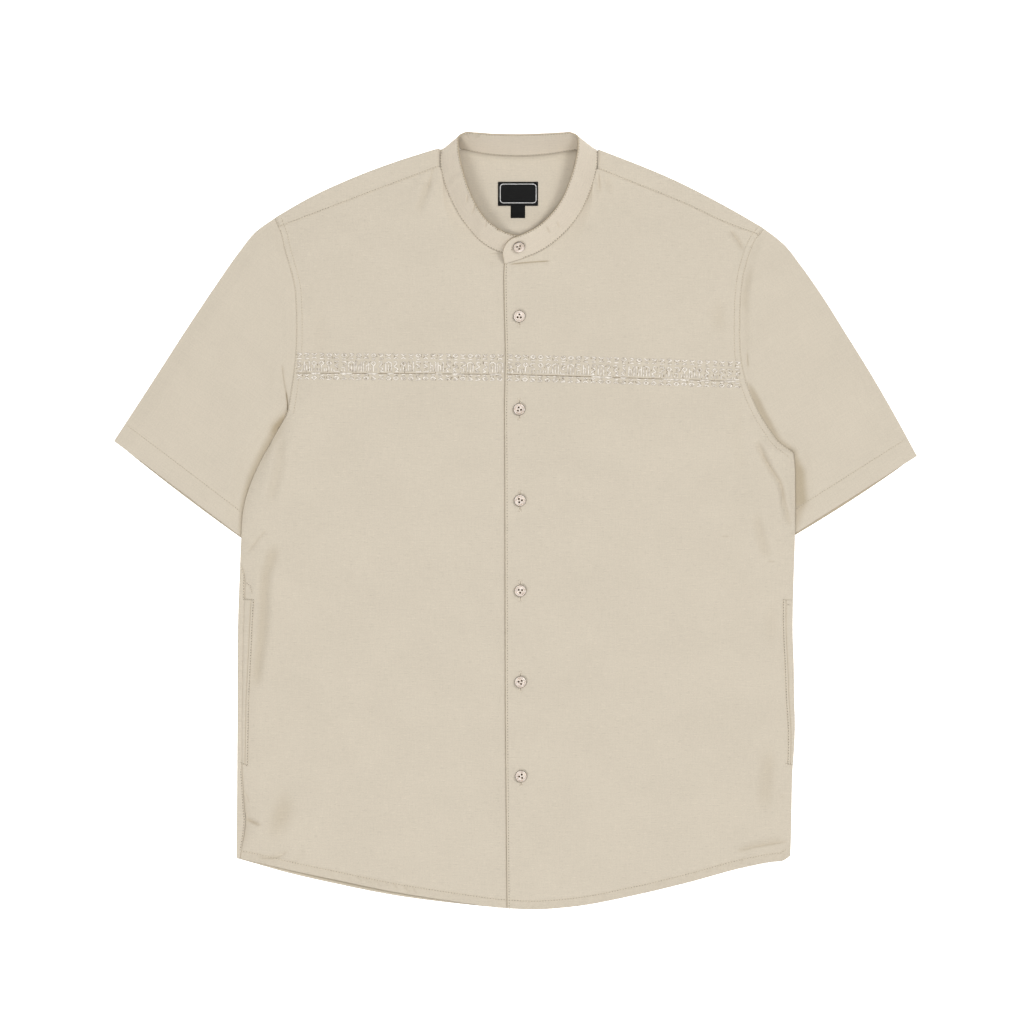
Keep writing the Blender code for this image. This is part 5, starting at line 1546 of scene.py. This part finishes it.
def slub_cotton(name, colour, slub):
    """Plain-woven slub cotton, piece-dyed beige: matte, with faint weft bars, a few thick yarns and painted
    shade.
    """
    material, tree, shader = new_material(name)
    weave = add_node(tree, "UVMap", uv_map="weave").outputs["UV"]
    total = 1.0
    # width and height of the grains in millimetres, detail, and the ranges of noise that lighten or darken
    for size, detail, *ranges in (
            # faint bars along the weft, and much fainter ones along the warp
            ((20.0, 1.4), 2.0, (0.3, 0.7, -0.014, 0.014)),
            ((1.4, 16.0), 2.0, (0.3, 0.7, -0.012, 0.012)),
            # grain of the yarns, drawn as coarse as a camera sees it, and slow changes of tone
            ((1.5, 1.2), 2.0, (0.25, 0.75, -0.04, 0.04)),
            ((60.0, 45.0), 1.0, (0.3, 0.7, -0.012, 0.012)),
            # thick yarns: short streaks, a little lighter or darker than the cloth
            ((7.0, 1.2), 1.0, (0.66, 0.78, 0.0, 0.06 * slub), (0.22, 0.33, -0.07 * slub, 0.0))):
        scaled = add_node(tree, "Mapping", {"Vector": weave, "Scale": (1000 / size[0], 1000 / size[1], 1.0)})
        noise = add_node(tree, "TexNoise", {"Vector": scaled.outputs[0], "Scale": 1.0, "Detail": detail,
                                            "Roughness": 0.5}, noise_dimensions="2D").outputs["Fac"]
        for limits in ranges:
            part = add_node(tree, "MapRange", (noise, *limits)).outputs["Result"]
            total = add_node(tree, "Math", (part, total), operation="ADD").outputs[0]
    shade = add_node(tree, "VectorMath", {0: linear(colour)[:3], "Scale": total}, operation="SCALE")
    # painted shade: warmer and darker cloth in its creases, hollows and beside edges, where light comes only
    # off the cloth around
    painted_shade = add_node(tree, "Attribute", attribute_name="painted_shade").outputs["Fac"]
    share = add_node(tree, "Math", (painted_shade, 0.4), operation="MULTIPLY").outputs[0]
    tint = add_node(tree, "ValToRGB", (share,))
    tint.color_ramp.elements[0].color = (1.0, 1.0, 1.0, 1.0)
    tint.color_ramp.elements[1].color = (0.44, 0.37, 0.27, 1.0)
    tint.color_ramp.elements.new(0.4).color = (0.72, 0.675, 0.59, 1.0)
    tinted = add_node(tree, "VectorMath", (shade.outputs[0], tint.outputs["Color"]), operation="MULTIPLY")
    # yarns crossing over and under at 0.9 mm, twice as coarse as in the real cloth, with uneven height
    scaled = add_node(tree, "Mapping", {"Vector": weave, "Scale": (1000 / 0.9, 1000 / 0.9, 1.0)}).outputs[0]
    warp, weft = [add_node(tree, "TexWave", {"Vector": scaled, "Scale": WAVE_SCALE, "Distortion": uneven,
                                             "Detail": 1.0}, bands_direction=way).outputs["Fac"]
                  for way, uneven in (("X", 0.6), ("Y", 0.9))]
    relief = add_node(tree, "Math", (warp, weft), operation="MULTIPLY").outputs[0]
    slubs = add_node(tree, "Math", (noise, 1.2 * slub), operation="MULTIPLY").outputs[0]
    relief = add_node(tree, "Math", (relief, slubs), operation="ADD").outputs[0]
    bump = add_node(tree, "Bump", {"Height": relief, "Distance": 0.00012, "Strength": 0.5})
    fill(tree, shader, {"Base Color": tinted.outputs[0], "Roughness": 0.93, "Specular IOR Level": 0.2,
                        "Sheen Weight": 0.06, "Sheen Roughness": 0.5, "Normal": bump.outputs[0]})
    return material


def sewing_thread(name, colour, hole_shade_colour):
    """Spun polyester sewing thread: each stitch is painted darker, as shade, where it goes down through its
    needle hole.
    """
    material, tree, shader = new_material(name)
    sunk = add_node(tree, "Attribute", attribute_name="sunk").outputs["Fac"]
    ramp = add_node(tree, "ValToRGB", (sunk,))
    for element, level, tone in zip(ramp.color_ramp.elements, (0.0, 0.5), (colour, hole_shade_colour)):
        element.position = level
        element.color = linear(tone)
    fill(tree, shader, {"Base Color": ramp.outputs["Color"], "Roughness": 0.75, "Specular IOR Level": 0.25,
                        "Sheen Weight": 0.1})
    return material


def satin_thread(name, colour, shade_colour, half_width):
    """Rayon embroidery floss in satin stitch: fine threads side by side, with a soft shine."""
    material, tree, shader = new_material(name)
    weave = add_node(tree, "UVMap", uv_map="weave").outputs["UV"]
    # threads of 0.42 mm, thicker than the real ones so that they show, and soft spots along the strokes
    scaled = add_node(tree, "Mapping", {"Vector": weave, "Scale": (1000 / 0.42, 1000 / 3.0, 1.0)}).outputs[0]
    floss = add_node(tree, "TexWave", {"Vector": scaled, "Scale": WAVE_SCALE, "Distortion": 0.7,
                                       "Detail": 1.0}, bands_direction="X").outputs["Fac"]
    place = add_node(tree, "TexCoord").outputs["Object"]
    spots = add_node(tree, "TexNoise", {"Vector": place, "Scale": 330.0, "Detail": 1.0}).outputs["Fac"]
    spots = add_node(tree, "MapRange", (spots, 0.35, 0.6, 0.3, 0.75)).outputs["Result"]
    share = add_node(tree, "Math", (floss, 0.3, spots), operation="MULTIPLY_ADD").outputs[0]
    # a stroke is painted dark along both sides, as shade where its threads turn down into the cloth
    across = add_node(tree, "SeparateXYZ", (weave,)).outputs["Y"]
    across = add_node(tree, "Math", (across,), operation="ABSOLUTE").outputs[0]
    limits = (0.6 * half_width * MM, 0.85 * half_width * MM, 1.0, 0.0)
    middle = add_node(tree, "MapRange", (across, *limits)).outputs["Result"]
    share = add_node(tree, "Math", (share, middle), operation="MULTIPLY").outputs[0]
    ramp = add_node(tree, "ValToRGB", (share,))
    for element, tone in zip(ramp.color_ramp.elements, (shade_colour, colour)):
        element.color = linear(tone)
    bump = add_node(tree, "Bump", {"Height": floss, "Distance": 0.00008, "Strength": 0.6})
    fill(tree, shader, {"Base Color": ramp.outputs["Color"], "Roughness": 0.42, "Specular IOR Level": 0.5,
                        "Sheen Weight": 0.2, "Normal": bump.outputs[0]})
    return material


def pearl_resin():
    """Cast polyester button resin, cream with a pearly cloud in it: smooth, soft shine on the rim."""
    material, tree, shader = new_material("cast polyester resin, cream pearl")
    place = add_node(tree, "TexCoord").outputs["Object"]
    cloud = add_node(tree, "TexNoise", {"Vector": place, "Scale": 260.0, "Detail": 2.0, "Distortion": 1.6})
    ramp = add_node(tree, "ValToRGB", (cloud.outputs["Fac"],))
    for element, level, tone in zip(ramp.color_ramp.elements, (0.35, 0.65), ("C8B8AA", "E4D7CA")):
        element.position = level
        element.color = linear(tone)
    # the turned edge is painted darker, as shade for the dark outline round the button
    rim = add_node(tree, "Attribute", attribute_name="rim").outputs["Fac"]
    level = add_node(tree, "MapRange", (rim, 0.9, 0.95, 1.0, 0.2)).outputs["Result"]
    shade = add_node(tree, "VectorMath", {0: ramp.outputs["Color"], "Scale": level}, operation="SCALE")
    fill(tree, shader, {"Base Color": shade.outputs[0], "Roughness": 0.26, "Subsurface Weight": 0.25,
                        "Subsurface Radius": (0.003, 0.0026, 0.002), "Subsurface Scale": 0.3,
                        "Coat Weight": 0.3, "Coat Roughness": 0.12})
    return material


def label_satin():
    """Black polyester label woven in satin: fine weft with a dull shine, slightly worn along its bars."""
    material, tree, shader = new_material("black polyester, satin-woven label")
    weave = add_node(tree, "UVMap", uv_map="weave").outputs["UV"]
    scaled = add_node(tree, "Mapping", {"Vector": weave, "Scale": (1000 / 9.0, 1000 / 0.6, 1.0)}).outputs[0]
    bars = add_node(tree, "TexNoise", {"Vector": scaled, "Scale": 1.0, "Detail": 2.0, "Roughness": 0.5},
                    noise_dimensions="2D").outputs["Fac"]
    ramp = add_node(tree, "ValToRGB", (bars,))
    for element, level, tone in zip(ramp.color_ramp.elements, (0.3, 0.75), ("040404", "0D0D0C")):
        element.position = level
        element.color = linear(tone)
    # weft threads of 0.5 mm, coarser than the real ones so that they show
    scaled = add_node(tree, "Mapping", {"Vector": weave, "Scale": (1000 / 0.5, 1000 / 0.5, 1.0)}).outputs[0]
    weft = add_node(tree, "TexWave", {"Vector": scaled, "Scale": WAVE_SCALE, "Distortion": 0.5,
                                      "Detail": 2.0}, bands_direction="Y").outputs["Fac"]
    bump = add_node(tree, "Bump", {"Height": weft, "Distance": 0.00008, "Strength": 0.6})
    fill(tree, shader, {"Base Color": ramp.outputs["Color"], "Roughness": 0.55, "Specular IOR Level": 0.16,
                        "Normal": bump.outputs[0]})
    return material


# Floor, light and camera

CAMERA_HEIGHT = 5.0
FRAME_WIDTH = 1.024
SENSOR_WIDTH = 36.0


def studio():
    """A pale floor, soft light from all round, and a camera straight above, as in the photo."""
    bpy.ops.object.select_all(action="DESELECT")
    bpy.ops.mesh.primitive_plane_add(size=6.0, location=(0.0, 0.0, 0.0))
    floor = bpy.context.object
    floor.name = "floor"
    paper, tree, shader = new_material("white card, matte coated")
    fill(tree, shader, {"Base Color": linear("F4F4F4"), "Roughness": 0.95, "Specular IOR Level": 0.1,
                        "Emission Color": (1.0, 1.0, 1.0, 1.0), "Emission Strength": 0.75})
    floor.data.materials.append(paper)

    world = bpy.data.worlds.new("soft white room")
    bpy.context.scene.world = world
    world.use_nodes = True
    background = world.node_tree.nodes["Background"]
    background.inputs["Color"].default_value = (1.0, 1.0, 1.0, 1.0)
    background.inputs["Strength"].default_value = 0.38

    for name, place, energy, size in (
            ("softbox_far_right", (2.5, 1.3, 4.2), 92.0, 1.5),
            ("softbox_near_left", (-2.0, -2.3, 4.2), 98.0, 1.8),
            ("softbox_above", (0.0, 0.4, 5.6), 64.0, 2.6)):
        light = bpy.data.lights.new(name, "AREA")
        light.energy = energy
        light.size = size
        box = bpy.data.objects.new(name, light)
        box.location = place
        box.rotation_euler = (-Vector(place)).to_track_quat("-Z", "Y").to_euler()
        bpy.context.scene.collection.objects.link(box)

    camera = bpy.data.cameras.new("camera above")
    camera.sensor_width = SENSOR_WIDTH
    camera.lens = SENSOR_WIDTH * CAMERA_HEIGHT / FRAME_WIDTH
    camera.clip_end = 20.0
    viewer = bpy.data.objects.new("camera above", camera)
    viewer.location = (-3.5 * MM, 9.5 * MM, CAMERA_HEIGHT)
    bpy.context.scene.collection.objects.link(viewer)
    bpy.context.scene.camera = viewer
    bpy.context.scene.view_settings.view_transform = "Standard"


# The materials

cotton = slub_cotton("plain-woven slub cotton, piece-dyed beige", "CAC0AF", 1.0)
band_cotton = slub_cotton("plain-woven slub cotton on white interlining, piece-dyed beige", "D3C8B7", 1.0)
plain_cotton = slub_cotton("plain-woven cotton, even yarns, piece-dyed beige", "CAC0AF", 0.25)
thread = sewing_thread("spun polyester sewing thread, beige", "CDC2AE", "3F3321")
light_thread = sewing_thread("spun polyester sewing thread, off-white", "DACFBC", "4A3B26")
floss = satin_thread("rayon embroidery floss, off-white", "FAF3E9", "84755F", CHEST_HALF_WIDTH)
shaded_floss = satin_thread("rayon embroidery floss, dark as painted shade", "94836B", "6C5D48", 0.4)
border_floss = satin_thread("polyester weft, pale grey", "FFFFFF", "B9B6B0", 0.34)
resin = pearl_resin()
black_satin = label_satin()

# The cloth

band_left = share_where(BAND, 1, FORWARD_SEAM_LEFT[-1][1], end=0.35)
band_right = share_where(BAND, 1, FORWARD_SEAM_RIGHT[-1][1], start=0.6)
neck_left = moved_left(curve(BAND, 120, band_left, 0.0), -BAND_SEAM)
neck_right = moved_left(curve(BAND, 120, band_right), BAND_SEAM)

front_lower, lower_lines = front_sheet("front_lower_cloth", LEFT, neck_left, cotton)
front_upper, upper_lines = front_sheet("front_upper_cloth", RIGHT, neck_right, cotton)
back, back_lines = back_sheet("back_cloth", cotton)
yoke = yoke_sheet("yoke_cloth", cotton)
rim_left, rim_right = lower_lines["rim"], upper_lines["rim"]
sleeve_left, sleeve_left_lines = sleeve_sheet("sleeve_left_cloth", LEFT, rim_left, plain_cotton)
sleeve_right, sleeve_right_lines = sleeve_sheet("sleeve_right_cloth", RIGHT, rim_right, plain_cotton)
band = band_sheet("collar_band_cloth", band_cotton)
welt_left = welt_sheet("pocket_welt_left_cloth", LEFT, lower_lines["side"], front_lower, cotton)
welt_right = welt_sheet("pocket_welt_right_cloth", RIGHT, upper_lines["side"], front_upper, cotton)
neck_label = label_sheet("neck_label_cloth", NECK_LABEL, yoke, 0.75, black_satin)
size_tab = label_sheet("size_tab_cloth", SIZE_TAB, yoke, 0.3, black_satin)

# The sewing

stitches_body = sewn_thread("stitches_body", body_rows(), thread)
stitches_sleeves = sewn_thread("stitches_sleeves", sleeve_rows(), thread,
                               [(sleeve_left_lines["body_edge"], PAINTED_SHADE_LEFT),
                                (sleeve_right_lines["body_edge"], PAINTED_SHADE_RIGHT)])
stitches_collar = sewn_thread("stitches_collar", collar_rows(), thread)
stitches_under = sewn_thread("stitches_under", under_rows(), thread)
buttonhole_rows = [buttonhole_frames(place, reach) for place, reach in zip(BUTTON_PLACES, BUTTONHOLES)]
buttonholes = sewn_thread("buttonhole_stitches", buttonhole_rows + [collar_buttonhole()], light_thread)
strokes_left, rails_left = chest_strokes(front_lower, CHEST_LEFT, 3)
strokes_right, rails_right = chest_strokes(front_upper, CHEST_RIGHT, 8)
embroidery_left = embroidered("chest_embroidery_left", strokes_left, CHEST_HALF_WIDTH, CHEST_HALF_HEIGHT,
                              floss)
embroidery_right = embroidered("chest_embroidery_right", strokes_right, CHEST_HALF_WIDTH, CHEST_HALF_HEIGHT,
                               floss)
# the dark floss paints shade: between the chest strokes, along the rail and in the buttonhole slits
rails = embroidered("chest_rail_threads", rails_left + rails_right, 0.4, 0.16, shaded_floss)
slits = embroidered("buttonhole_slits", [laid_line([front_upper], path, 0.5) for path in buttonhole_slits()],
                    0.3, 0.08, shaded_floss)
border = embroidered("neck_label_border", [laid_line([neck_label], label_border(), 0.5)], 0.34, 0.16,
                     border_floss)

# The buttons

places = [Matrix.Translation((x, y, BUTTON_UNDERSIDE)) @ Matrix.Rotation(0.35 * index, 4, "Z")
          for index, (x, y) in enumerate(BUTTON_PLACES)]
places.insert(0, collar_button_place())
turned = turned_button()
for number, place in enumerate(places, start=1):
    button = link_mesh(f"button_{number}_resin", turned.copy(), resin)
    scaled = place.copy()
    scaled.translation = place.translation * MM
    button.data.transform(scaled)
    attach(button, "root")
    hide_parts(f"button_{number}")
bpy.data.meshes.remove(turned)
button_threads = sewn_thread("button_threads", [button_thread(place) for place in places], light_thread)

# What each piece stands for
for piece, node, slot in ((front_lower, "front_under", "cloth"), (front_upper, "front_over", "cloth"),
                          (back, "back_panel", "cloth"), (yoke, "yoke", "cloth"),
                          (sleeve_left, "sleeve_left", "cloth"), (sleeve_right, "sleeve_right", "cloth"),
                          (band, "collar_band", "cloth"), (welt_left, "pocket_welt_left", "cloth"),
                          (welt_right, "pocket_welt_right", "cloth"), (neck_label, "neck_label", "label"),
                          (size_tab, "size_tab", "label")):
    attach(piece, "root")
    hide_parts(node)
for piece in (stitches_body, stitches_sleeves, stitches_collar, stitches_under, buttonholes, button_threads,
              embroidery_left, embroidery_right, rails, slits, border):
    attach(piece, "root")

studio()
